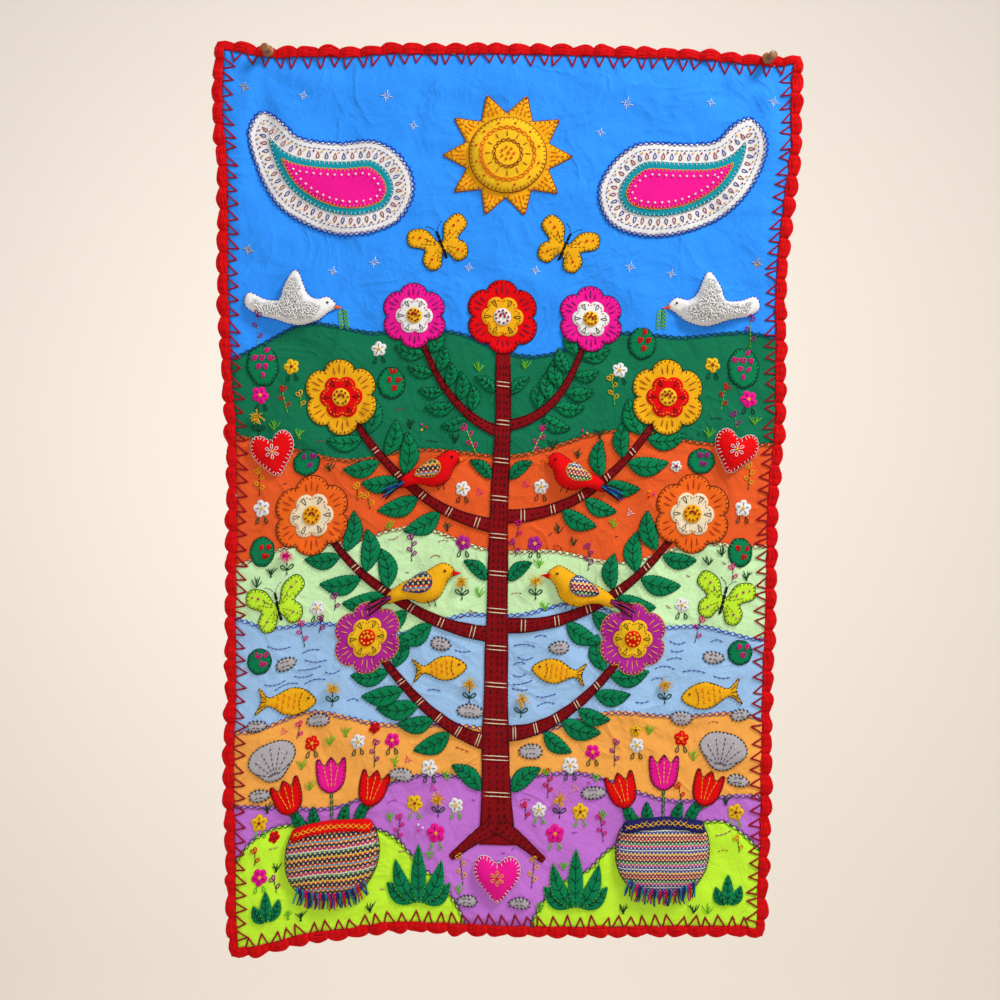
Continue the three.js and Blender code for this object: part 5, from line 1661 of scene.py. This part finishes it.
for s in (-1, 1):
    for x, y, c in ((24, 655, "gold"), (108, 648, "magenta"), (176, 640, "gold"), (150, 560, "red"), (60, 758, "gold"), (214, 506, "pink"), (36, 520, "gold"), (262, 372, "gold")):
        q = near_free((s * x, y + 8), 11)
        if q is not None:
            take(q, 10)
            thistle((q[0], q[1] - 9), 20, c)
    put_sprig((s * 24, 842), 90 - s * 34, 40, 5, "forest", "pink")
    for x, y, lean, L, n, stem, bud in (
        (262, 300, 0, 28, 3, "spring", "magenta"), (240, 350, -10, 22, 3, "spring", "red"), (118, 352, 6, 26, 4, "spring", "gold"),
        (30, 400, -24, 28, 4, "lime", "pink"), (150, 440, 30, 24, 3, "forest", "gold"), (30, 566, -30, 30, 4, "forest", "red"),
        (178, 560, 10, 24, 3, "forest", "magenta"), (206, 596, -12, 22, 3, "forest", "pink"), (118, 724, 0, 22, 3, "forest", "magenta"),
        (262, 732, 0, 20, 3, "forest", "red"), (110, 800, 8, 24, 4, "forest", "pink"), (60, 840, -6, 26, 4, "forest", "gold"),
        (30, 760, 0, 24, 4, "forest", "red"), (262, 420, 0, 22, 4, "forest", "gold"), (100, 520, 0, 22, 4, "forest", "magenta"),
    ):
        put_sprig((s * x, y), 90 + s * lean, L, n, stem, bud)
    for x, y in ((40, 380), (100, 392), (150, 388), (212, 386), (262, 370), (60, 486), (118, 480), (232, 500), (40, 552), (110, 560), (262, 548), (48, 736), (104, 738), (160, 690), (214, 706), (246, 762), (112, 792), (80, 824), (52, 868), (136, 872), (232, 870), (208, 872)):
        put_grass((s * x, y), 5, 11, "spring" if (x + y) % 3 else "forest")

g1 = np.random.default_rng(77)


def bowed(p, length, bow, tilt):
    t = np.linspace(0, 1, 9)
    return np.stack([p[0] + length * (t - 0.5), p[1] + bow * np.sin(np.pi * t) + tilt * length * (t - 0.5)], 1)


def open_work(seg, r=2.6, most=1.6):
    return h_at(seg[:, 0], seg[:, 1]).max() < most and all(free(q, r) for q in seg[::2])


# Furrows in stem stitch.
for _ in range(260):
    p = np.array([g1.uniform(-262, 262), g1.uniform(330, 870)])
    length = g1.uniform(9, 19)
    seg = bowed(p, length, g1.normal(0, 1.8), g1.normal(0, 0.2))
    if np.abs(seg[:, 0]).max() < 266 and not 570 < p[1] < 690 and open_work(seg, 3.0, 2.2):
        col = "night" if p[1] < 400 else "magenta" if p[1] > 742 else "crimson"
        line(col, seg, r=0.5, length=4.4, gap=0.2, slant=0.22)
        for q in seg[::3]:
            take(q, 3.0)

# Small things fill what is left, as close as the sewer's patience went.
gf = np.random.default_rng(404)
for y in np.arange(318, 870, 10.5):
    for x in np.arange(-262, 263, 12.0):
        p = (x + gf.uniform(-4, 4), y + gf.uniform(-4, 4))
        if 578 < p[1] < 676 or not free(p, 6.5):
            continue
        kind = gf.integers(0, 8)
        take(p, 6)
        if kind == 0:
            floret(p, 6.2, ["pink", "white", "gold", "red"][int(gf.integers(0, 4))], core="crimson")
        elif kind in (1, 2):
            grass((p[0], p[1] + 5), 5, 10, "forest" if p[1] > 372 and gf.uniform() < 0.6 else "spring")
        elif kind in (3, 4):
            sprig((p[0], p[1] + 6), 90 + gf.uniform(-14, 14), 12, 2, "forest" if p[1] > 372 else "spring", ["pink", "gold", "magenta", "red"][int(gf.integers(0, 4))])
        elif kind == 5:
            star(p, 5, ["white", "gold", "pink"][int(gf.integers(0, 3))], 6)
        elif kind == 6:
            for k in range(3):
                knot(["gold", "pink", "white", "red"][int(gf.integers(0, 4))], (p[0] + 3.2 * math.cos(2.1 * k), p[1] + 3.2 * math.sin(2.1 * k)), 1.5)
        else:
            line("crimson", smooth([(p[0] - 6, p[1] + 1), (p[0], p[1] - 1.4), (p[0] + 6, p[1])], 4, False), r=0.5, length=4.4, gap=0.7)

# Stem stitch that follows the water, in short bowed lines.
for j, y in enumerate(np.arange(588.0, 676.0, 9.5)):
    x = -264 + g1.uniform(0, 12)
    while x < 262:
        length = g1.uniform(13, 27)
        c = (x + length / 2, y + 4 * math.sin(x / 46 + j * 0.5) + g1.normal(0, 0.5))
        seg = bowed(c, length, g1.uniform(1.4, 3.3) * (1 if g1.uniform() < 0.6 else -1), g1.normal(0, 0.1))
        lo = BANDS[3]["top"](seg[:, 0]).max() + 8
        hi = BANDS[4]["top"](seg[:, 0]).min() - 5
        if seg[:, 1].min() > lo and seg[:, 1].max() < hi and open_work(seg):
            line("blue", seg, r=0.5, length=4.6, gap=0.15, slant=0.22)
            x += length + g1.uniform(5, 15)
        else:
            x += 6.0
# and scattered pairs on the other bands
for _ in range(240):
    p = np.array([g1.uniform(-264, 264), g1.uniform(322, 872)])
    ang = g1.normal(0, 0.35)
    q = p + np.array([math.cos(ang), math.sin(ang)]) * g1.uniform(4, 7)
    if free(p, 4) and free(q, 2) and not 585 < p[1] < 676:
        col = "night" if p[1] < 500 else "magenta" if p[1] > 742 else "crimson"
        stitch(col, p, q, 0.45)

# ------------------------------------------------------------------ loops of yarn inside the hem
TOOTH = 13.6


def hem_line(side, t):
    """A point of the hem in (a, b), t from 0 to 1 round it clockwise from its start, and the way out."""
    t = np.asarray(t, float)
    if side == "top":
        return np.stack([-280 + 560 * t, 0 * t], -1), np.array([0.0, -1.0])
    if side == "right":
        return np.stack([280 + 0 * t, 885 * t], -1), np.array([1.0, 0.0])
    if side == "bottom":
        return np.stack([280 - 560 * t, 885 + 0 * t], -1), np.array([0.0, 1.0])
    return np.stack([-280 + 0 * t, 885 - 885 * t], -1), np.array([-1.0, 0.0])


gt = np.random.default_rng(9)
hem_threads = Threads()
for side in ("top", "right", "bottom", "left"):
    L = 560 if side in ("top", "bottom") else 885
    n = int(round((L - 14) / TOOTH))
    _, out = hem_line(side, 0.0)
    tan = np.array([-out[1], out[0]])
    for k in range(n):
        t = (7 + (k + 0.5) * (L - 14) / n) / L
        c, _ = hem_line(side, t)
        w = gt.uniform(4.6, 6.8)
        d = gt.uniform(8.8, 11.8)
        lean = gt.normal({"top": 0.6, "right": 2.2, "bottom": 0.4, "left": -3.8}[side], 1.9)
        p0, p1 = c - tan * w + out * 1.0, c + tan * w + out * 1.0
        tip = c - out * d + tan * lean
        s = np.linspace(0, 1, 11)
        # a narrow loop: down one side, round the tip and back
        left = p0 + (tip - tan * 0.5 - p0) * s[:, None]
        right = (tip + tan * 0.5) + (p1 - tip - tan * 0.5) * s[:, None]
        path = np.vstack([left, tip - out * 0.5, right, p1 + (p0 - p1) * s[1:8, None] - out * 0.8])
        path = resample(path, np.sqrt((np.diff(path, axis=0) ** 2).sum(1)).sum() / 22.0, False)
        path = path + gt.normal(0, 0.10, path.shape)
        h = h_at(path[:, 0], path[:, 1]) + 0.65
        hem_threads.add(place(path[:, 0], path[:, 1], h), np.full(len(path), 0.88), sides=4)
        # the anchoring stitch at the tip
        q = np.stack([tip + out * 1.2, tip - out * 1.6])
        hh = h_at(q[:, 0], q[:, 1])
        m = np.linspace(0, 1, 4)
        ab = q[0] + (q[1] - q[0]) * m[:, None]
        hem_threads.add(place(ab[:, 0], ab[:, 1], hh.max() + 0.9 * np.sin(np.pi * m) + 0.2), np.full(4, 0.7))

# ------------------------------------------------------------------ the crocheted edging
# Both wools get painted shade in their ply grooves; deep is the red wool's painted shade colour.
WOOL = yarn_mat("wool_red", (216, 1, 9), pitch=7.5, fuzz=0.26, rough=0.95, groove_shade=0.4, deep=(130, 0, 4))
WOOL_THIN = yarn_mat("wool_crimson", (160, 4, 34), pitch=2.6, fuzz=0.2, groove_shade=0.5)


def hem_xyz(side, s):
    """Points of the hem in the row frame, in mm, with tangents and outward normals as seen face on. s may run a little past the corners."""
    ab, _ = hem_line(side, np.clip(s, 0, 1))
    x, z = hang(ab[:, 0] / CLOTH_W + 0.5, ab[:, 1] / CLOTH_H)
    e = 1e-3
    ab2, _ = hem_line(side, np.clip(s + e, 0, 1))
    ab1, _ = hem_line(side, np.clip(s - e, 0, 1))
    x2, z2 = hang(ab2[:, 0] / CLOTH_W + 0.5, ab2[:, 1] / CLOTH_H)
    x1, z1 = hang(ab1[:, 0] / CLOTH_W + 0.5, ab1[:, 1] / CLOTH_H)
    tx, tz = x2 - x1, z2 - z1
    l = np.maximum(np.hypot(tx, tz), 1e-9)
    tx, tz = tx / l, tz / l
    nx, nz = -tz, tx  # clockwise as seen face on, so the outside is on the left
    y = stand_off(ab[:, 0], ab[:, 1]) + pucker(ab[:, 0], ab[:, 1])
    return x, z, y, tx, tz, nx, nz


order = ["top", "right", "bottom", "left"]
edging = {}
ge = np.random.default_rng(21)
for si, side in enumerate(order):
    n = SCALLOPS[side]
    after = order[(si + 1) % 4]
    wool, hairs = Threads(), []
    # lobe k runs from valley (k + .5) / n to valley (k + 1.5) / n; the last one turns the corner
    for k in range(n):
        s0, s1 = (k + 0.5) / n, (k + 1.5) / n
        m = 9
        t = np.linspace(0, 1, m)
        s = s0 + (s1 - s0) * t
        if s1 <= 1.0 + 1e-9:
            x, z, y, tx, tz, nx, nz = hem_xyz(side, s)
            corner = False
        else:
            one = s <= 1.0
            xa = np.array(hem_xyz(side, s[one]))
            na = SCALLOPS[after]
            xb = np.array(hem_xyz(after, (s[~one] - 1.0) * n / na))
            x, z, y, tx, tz, nx, nz = np.concatenate([xa, xb], 1)
            # blend the way out over the corner
            w = np.clip((t - 0.2) / 0.6, 0, 1)
            w = w * w * (3 - 2 * w)
            n0, n1 = np.array([nx[0], nz[0]]), np.array([nx[-1], nz[-1]])
            nn = n0[None] * (1 - w)[:, None] + n1[None] * w[:, None]
            nn /= np.linalg.norm(nn, axis=1, keepdims=True)
            nx, nz = nn[:, 0], nn[:, 1]
            tx, tz = nz, -nx
            corner = True
        size = ge.uniform(0.93, 1.07)
        # a lobe is fuller at one end, like a drop
        skew = ge.uniform(0.04, 0.18) * (1 if ge.uniform() < 0.8 else -1)
        tt = np.clip(t + skew * np.sin(np.pi * t), 0, 1)
        bell = np.sin(np.pi * tt) ** 0.8
        offs = [0.9, 2.5, 4.2, 5.8, 7.5, 9.3]
        valley = [0.1, 1.2, 2.4, 3.6, 4.8, 6.0]
        if corner:
            offs = [0.7, 1.9, 3.2, 4.5, 5.8, 7.1]
        plump = 2.3 * size
        core = valley[3] + (offs[3] - 0.6 - valley[3]) * bell
        mid = y + CLOTH_T * 0.55
        for shift in (-1.3, 1.4):
            co = core + shift * bell
            cy = -np.maximum(mid + 0.7 * bell, 2.9)
            wool.add(np.stack([x + nx * co, cy, z + nz * co], 1) / 1000, 1.4 + 1.05 * bell, sides=6)
        # the strands cross one another from end to end, and lie unevenly
        twist = ge.uniform(0.5, 2.4)
        for layer in (0, 1):
            for j in range(6 - layer):
                f = (j + 0.5 * layer) / 5.0
                o = np.interp(f, np.linspace(0, 1, 6), offs) * (size if f > 0.4 else 1) + ge.normal(0, 0.4)
                vl = np.interp(f, np.linspace(0, 1, 6), valley)
                off = vl + (o - vl) * bell
                wander = ge.uniform(0.2, 0.7) * np.sin(2 * np.pi * (t * ge.uniform(0.6, 1.3) + ge.uniform()))
                off = off + (twist * (t - 0.5) * (1 if layer == 0 else -1) + wander) * np.sin(np.pi * t)
                crown = math.cos((f - 0.45) * 2.4)
                depth = (1.25 + plump * max(crown, 0) * bell * 0.62) * (1 if layer == 0 else -0.62)
                depth = depth + ge.uniform(0.1, 0.5) * np.sin(2 * np.pi * (t * ge.uniform(0.5, 1.2) + ge.uniform())) * bell
                mid = y + CLOTH_T * 0.55
                if layer == 1:
                    depth = np.maximum(depth, -(mid - 1.7))
                px, pz = x + nx * off, z + nz * off
                py = -(mid + depth)
                rad = 1.6 * (0.72 + 0.28 * bell) * ge.uniform(0.9, 1.12)
                pts = np.stack([px, py, pz], 1) / 1000
                wool.add(pts, rad, sides=5)
                hairs.append((pts, rad, np.stack([nx, 0 * nx, nz], 1)))
        # a strand that slips under the next lobe at the valley
        lean = ge.uniform(1.5, 3.5)
        q = np.linspace(0, 1, 6)
        cx = x[0] + nx[0] * (6.6 - 7.4 * q) + tx[0] * (lean * (0.5 - q))
        cz = z[0] + nz[0] * (6.6 - 7.4 * q) + tz[0] * (lean * (0.5 - q))
        cy = -(y[0] + CLOTH_T * 0.55 + 1.2 + 0.9 * np.sin(np.pi * q))
        wool.add(np.stack([cx, cy, cz], 1) / 1000, np.full(6, 0.8), sides=5)
    # loose fibres that stand off the wool
    for pts, rad, out3 in hairs:
        for _ in range(2):
            k = int(ge.integers(1, len(pts) - 1))
            d = out3[k] * ge.normal(0.5, 0.7) + np.array([0, -abs(ge.normal(0.8, 0.5)), 0]) + ge.normal(0, 0.35, 3)
            d /= max(np.linalg.norm(d), 1e-6)
            start = pts[k] + d * rad[k] * 0.7 / 1000
            l = ge.uniform(1.2, 2.6) / 1000
            bend = ge.normal(0, 0.3, 3)
            q = np.linspace(0, 1, 2)[:, None]
            path = start + d * l * q + bend * l * q * q
            path[:, 1] = np.minimum(path[:, 1], -0.0004)
            wool.add(path, np.array([0.16, 0.05]), ref=(0.3, 0.5, 0.8), sides=3)
    edging[side] = wool

ed = []
for si, side in enumerate(order):
    ob = edging[side].build("edging_" + side, WOOL, "wool_red")
    ed.append(ob)
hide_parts("crochet_edging")
teeth = hem_threads.build("hem_loops", WOOL_THIN, "wool_red")

# ------------------------------------------------------------------ the push pins
def lathe(name, profile, n, mat, side):
    x, z, lx, lz, seat = PINS[side]
    r, y = np.array(profile, float).T
    t = 2 * np.pi * np.arange(n) / n
    ring = np.stack([r[:, None] * np.cos(t), np.broadcast_to(y[:, None], (len(r), n)), r[:, None] * np.sin(t)], -1)
    # rotation "ZYX" of three.js: x first, then y, then z
    ax, az = math.radians(180 - lz), math.radians(lx)
    Rx = np.array([[1, 0, 0], [0, math.cos(ax), -math.sin(ax)], [0, math.sin(ax), math.cos(ax)]])
    Rz = np.array([[math.cos(az), -math.sin(az), 0], [math.sin(az), math.cos(az), 0], [0, 0, 1]])
    v = ring.reshape(-1, 3) @ (Rz @ Rx).T + np.array([x, -seat, z])
    idx = np.arange(len(r) * n).reshape(len(r), n)
    nx = np.roll(idx, -1, 1)
    f = np.stack([idx[:-1], nx[:-1], nx[1:], idx[1:]], -1).reshape(-1, 4)
    ob = make_mesh(name, v / 1000, [f[:, ::-1], idx[0][None, :], idx[-1][None, ::-1]], {"loc": np.concatenate([ring.reshape(-1, 3)])}, mat)
    return ob


def wood_mat():
    n = Nodes("pin_wood")
    x, y, z = n.attr("loc")
    comb = n.new("ShaderNodeCombineXYZ")
    n.link(n.math("MULTIPLY", x, 0.9), comb.inputs[0])
    n.link(n.math("MULTIPLY", y, 0.12), comb.inputs[1])
    n.link(n.math("MULTIPLY", z, 0.9), comb.inputs[2])
    grain = n.noise(1.6, 5, 0.6, 0.4, comb.outputs[0])
    fine = n.noise(9, 4, 0.6, 0.2, comb.outputs[0])
    col = n.ramp(grain, [(0.3, lin(108, 60, 22)), (0.5, lin(166, 106, 50)), (0.72, lin(204, 142, 80))])
    rings = n.math("MULTIPLY_ADD", n.math("SINE", n.math("ADD", n.math("MULTIPLY", y, 3.4), n.math("MULTIPLY", grain, 5.0))), 0.5, 0.5)
    col = n.mix(n.math("MULTIPLY", n.math("POWER", rings, 4.0), 0.5), col, lin(98, 54, 22))
    col = n.mix(n.math("MULTIPLY", fine, 0.3), col, lin(112, 66, 30))
    return n.done(col, n.math("MULTIPLY_ADD", fine, 0.2, 0.45), n.bump(fine, 0.25, 0.0002), coat=0.15, specular=0.5)


def steel_mat():
    n = Nodes("pin_steel")
    f = n.noise(2500, 3, 0.6)
    col = n.mix(f, lin(205, 205, 208), lin(170, 170, 174))
    return n.done(col, n.math("MULTIPLY_ADD", f, 0.12, 0.2), n.bump(f, 0.1, 0.00005), metallic=1.0)


WOOD, STEEL = wood_mat(), steel_mat()
HEAD = [(0.9, 3.3), (0.9, 0.0), (4.2, -0.02), (5.1, 0.05), (5.6, 0.45), (5.8, 1.1), (5.8, 2.1), (5.6, 2.75), (5.0, 3.25), (4.2, 4.1), (3.7, 5.4), (3.5, 6.9), (3.65, 8.6), (3.95, 10.2), (4.2, 11.4), (4.25, 12.6), (4.2, 13.5), (3.8, 14.15), (2.9, 14.45), (1.2, 14.5), (0.01, 14.52)]
NEEDLE = [(0.01, -11.0), (0.25, -9.8), (0.6, -8.0), (0.6, -3.0), (0.6, 3.0), (0.01, 3.05)]
for side in ("left", "right"):
    head = lathe("pin_wood_" + side, HEAD, 40, WOOD, side)
    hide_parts("pin_head_" + side)
    needle = lathe("pin_steel_" + side, NEEDLE, 20, STEEL, side)
    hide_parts("pin_needle_" + side)

# ------------------------------------------------------------------ the back: turned hem and the stitches' undersides
back_threads = {}
going_hem = []
gb = np.random.default_rng(31)


def back_line(colour, pts, length=6.0, gap=2.4, r=0.42, under=0.0):
    q = resample(pts, length, False)
    for i in range(len(q) - 1):
        d = q[i + 1] - q[i]
        l = max(np.hypot(*d), 1e-6)
        p0, p1 = q[i] + d * (gap / 2 / l), q[i + 1] - d * (gap / 2 / l)
        t = np.linspace(0, 1, 3)
        ab = p0 + (p1 - p0) * t[:, None] + gb.normal(0, 0.25, (3, 2))
        h = -1.25 - under - r * 0.6 * np.sin(np.pi * t) - 0.05
        back_threads.setdefault(colour, Threads()).add(place(ab[:, 0], ab[:, 1], h), r * np.array([0.7, 1, 0.7]), sides=3)


for band in BANDS:
    for off in (-2.5, 4.0):
        back_line(band["thread"], band["edge"] + np.array([0, off]))
for row in TREE:
    p, d, w = branch(row, np.linspace(0.03, 0.97, 40))
    nrm = np.stack([-d[:, 1], d[:, 0]], 1)
    for s in (1, -1):
        back_line("black", p + nrm * (s * w)[:, None], 6.6, 1.7)
for name, kind, row, *rest in FLAT + STUFFED:
    poly = spot(row, outline(kind, row))
    back_line("black" if kind not in ("paisley", "dove") else "blue", np.vstack([poly, poly[:1]]), 6.0, 1.5)
for colour, pts, step, gap in UNDER:
    back_line(colour, np.asarray(pts, float), step, gap)
# threads carried from one small thing to the next, and the tails of the knots
ends = [(c, np.asarray(q, float)[0]) for c, q, *_ in UNDER]
for k in range(0, len(ends) - 1, 3):
    c, p0 = ends[k]
    p1 = ends[k + 1][1]
    if 8 < np.hypot(*(p1 - p0)) < 46 and gb.uniform() < 0.6:
        back_line(c, np.array([p0, (p0 + p1) / 2 + gb.normal(0, 1.5, 2), p1]), 60.0, 0.4, 0.4)
    for _ in range(2):
        ang = gb.uniform(0, 2 * math.pi)
        q = p0 + np.array([math.cos(ang), math.sin(ang)]) * gb.uniform(4, 9)
        back_line(c, np.array([p0, (p0 + q) / 2 + gb.normal(0, 0.8, 2), q]), 60.0, 0.2, 0.38)
hem_in = 9.0
# the hem, turned to the back
for name, a0, a1, b0, b1, na, nb in (
    ("top", -279.4, 279.4, 0.6, 11.5, 117, 4), ("bottom", -279.4, 279.4, 873.5, 884.4, 117, 4),
    ("left", -279.4, -268.5, 0.6, 884.4, 4, 184), ("right", 268.5, 279.4, 0.6, 884.4, 4, 184),
):
    A, B = np.meshgrid(np.linspace(a0, a1, na), np.linspace(b0, b1, nb))
    lip = np.array(0.0 * A)
    inner = (B > 11) & (name == "top") | (B < 874) & (name == "bottom") | (A > -269) & (name == "left") | (A < 269) & (name == "right")
    lip[inner] = 0.25
    going_hem.append(sheet_grid("hem_turn_" + name, A, B, 0 * A - 1.22, 0 * A - 1.95 + lip, COTTON["sky"]))
back_line("blue", np.array([(-280 + hem_in, hem_in), (280 - hem_in, hem_in), (280 - hem_in, 885 - hem_in), (-280 + hem_in, 885 - hem_in), (-280 + hem_in, hem_in)]), 7.0, 3.0, 0.42, 0.7)

# ------------------------------------------------------------------ build the joined piles
YARN = {}
going = []
# Every thread gets painted shade in its ply grooves; the white thread's deep is its painted shade colour.
THREAD_LOOK = {"black": dict(pitch=1.9, fuzz=0.08, rough=0.7), "white": dict(pitch=2.4, fuzz=0.45, groove_shade=0.08, deep=(226, 226, 228)), "blue": dict(pitch=1.8, fuzz=0.12, rough=0.6)}
for colour, t in sorted(threads.items()):
    k = THREAD_LOOK.get(colour, dict(pitch=2.0, fuzz=0.15, rough=0.65, groove_shade=0.35))
    YARN[colour] = yarn_mat("thread_" + colour, C[colour], **k)
    going.append(t.build("threads_" + colour, YARN[colour], "thread"))
for colour, t in sorted(back_threads.items()):
    going.append(t.build("back_threads_" + colour, YARN[colour], "thread"))
for colour, pile in sorted(layer_piles.items()):
    mat = WOVEN_A if colour == "woven_a" else WOVEN_B if colour == "woven_b" else FELT[colour]
    slot = {"woven_a": "woven_stripe", "woven_b": "woven_stripe", "gold": "felt_yellow", "yellow": "felt_yellow", "white": "felt_white", "cream": "felt_white", "red": "felt_red", "pink": "felt_pink", "magenta": "felt_purple", "tangerine": "felt_orange"}.get(colour, "felt_green")
    going.append(pile.build("layers_" + colour, mat, slot))
going.append(leaf_pile.build("leaves", FELT["leaf"], "felt_green"))
going += ed + going_hem + [teeth, tree]

# ------------------------------------------------------------------ stage, light and camera
def stage_mat(name, rgb):
    n = Nodes(name)
    f = n.noise(2.2, 3, 0.5)
    g = n.noise(180, 4, 0.6)
    c = lin(*rgb)
    col = n.mix(n.math("MULTIPLY", f, 0.10), c, scaled(c, 0.93))
    return n.done(col, 0.95, n.bump(g, 0.05, 0.001), specular=0.1)


FLOOR_Z, BACK_Y = -2.3, 2.6
prof = [(-12.0, FLOOR_Z), (BACK_Y - 0.6, FLOOR_Z)]
for k in range(1, 13):
    t = math.pi / 2 * k / 12
    prof.append((BACK_Y - 0.6 + 0.6 * math.sin(t), FLOOR_Z + 0.6 - 0.6 * math.cos(t)))
prof.append((BACK_Y, 3.2))
v, f = [], []
for y, z in prof:
    v += [(-16, y, z), (16, y, z)]
for k in range(len(prof) - 1):
    f.append((2 * k, 2 * k + 1, 2 * k + 3, 2 * k + 2))
me = bpy.data.meshes.new("stage_floor")
me.from_pydata(v, [], f)
for p in me.polygons:
    p.use_smooth = True
floor = bpy.data.objects.new("stage_floor", me)
bpy.context.scene.collection.objects.link(floor)
me.materials.append(stage_mat("stage_pale", (248, 240, 230)))
floor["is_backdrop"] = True


def area(name, loc, aim, size, power, colour=(1, 1, 1)):
    l = bpy.data.lights.new(name, "AREA")
    l.shape = "RECTANGLE"
    l.size, l.size_y = size
    l.energy = power
    l.color = colour
    o = bpy.data.objects.new(name, l)
    bpy.context.scene.collection.objects.link(o)
    o.location = loc
    o.rotation_mode = "QUATERNION"
    o.rotation_quaternion = (Vector(aim) - Vector(loc)).to_track_quat("-Z", "Y")
    return o


area("key", (1.35, -1.05, 1.25), (0, 0, -0.45), (0.55, 0.55), 50, (1.0, 0.985, 0.96))
area("fill_left", (-0.8, -2.4, -0.35), (0, 0, -0.5), (1.8, 1.8), 16, (0.97, 0.98, 1.0))
area("back_wash", (-0.2, 0.6, -0.08), (-0.2, 2.6, -0.08), (2.0, 1.0), 17, (1, 0.99, 0.97))
area("behind", (0.6, 1.9, 0.4), (0, 0, -0.45), (1.6, 1.6), 12, (1, 1, 1))
w = bpy.data.worlds.new("world")
bpy.context.scene.world = w
w.use_nodes = True
w.node_tree.nodes["Background"].inputs[0].default_value = (1.0, 0.98, 0.955, 1)
w.node_tree.nodes["Background"].inputs[1].default_value = 0.42

cam = bpy.data.cameras.new("camera")
cam.lens = 54.0
cam.sensor_width = 36.0
camera = bpy.data.objects.new("camera", cam)
bpy.context.scene.collection.objects.link(camera)
# 1 px is 1 mm in the plane of the cloth: the frame's middle is at px (500, 500), which is
# 17.5 mm to the left of the origin and 443 mm below it.
camera.location = (-0.0175, -1.5, -0.443)
camera.rotation_euler = (math.pi / 2, 0, 0)
cam.clip_start, cam.clip_end = 0.05, 60
bpy.context.scene.camera = camera
bpy.context.scene.view_settings.view_transform = "Standard"

total = 0
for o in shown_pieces():
    o.data.calc_loop_triangles()
    n = len(o.data.loop_triangles)
    total += n
    if n > 60000:
        print("tris", o.name, n)
print("tris in all", total)
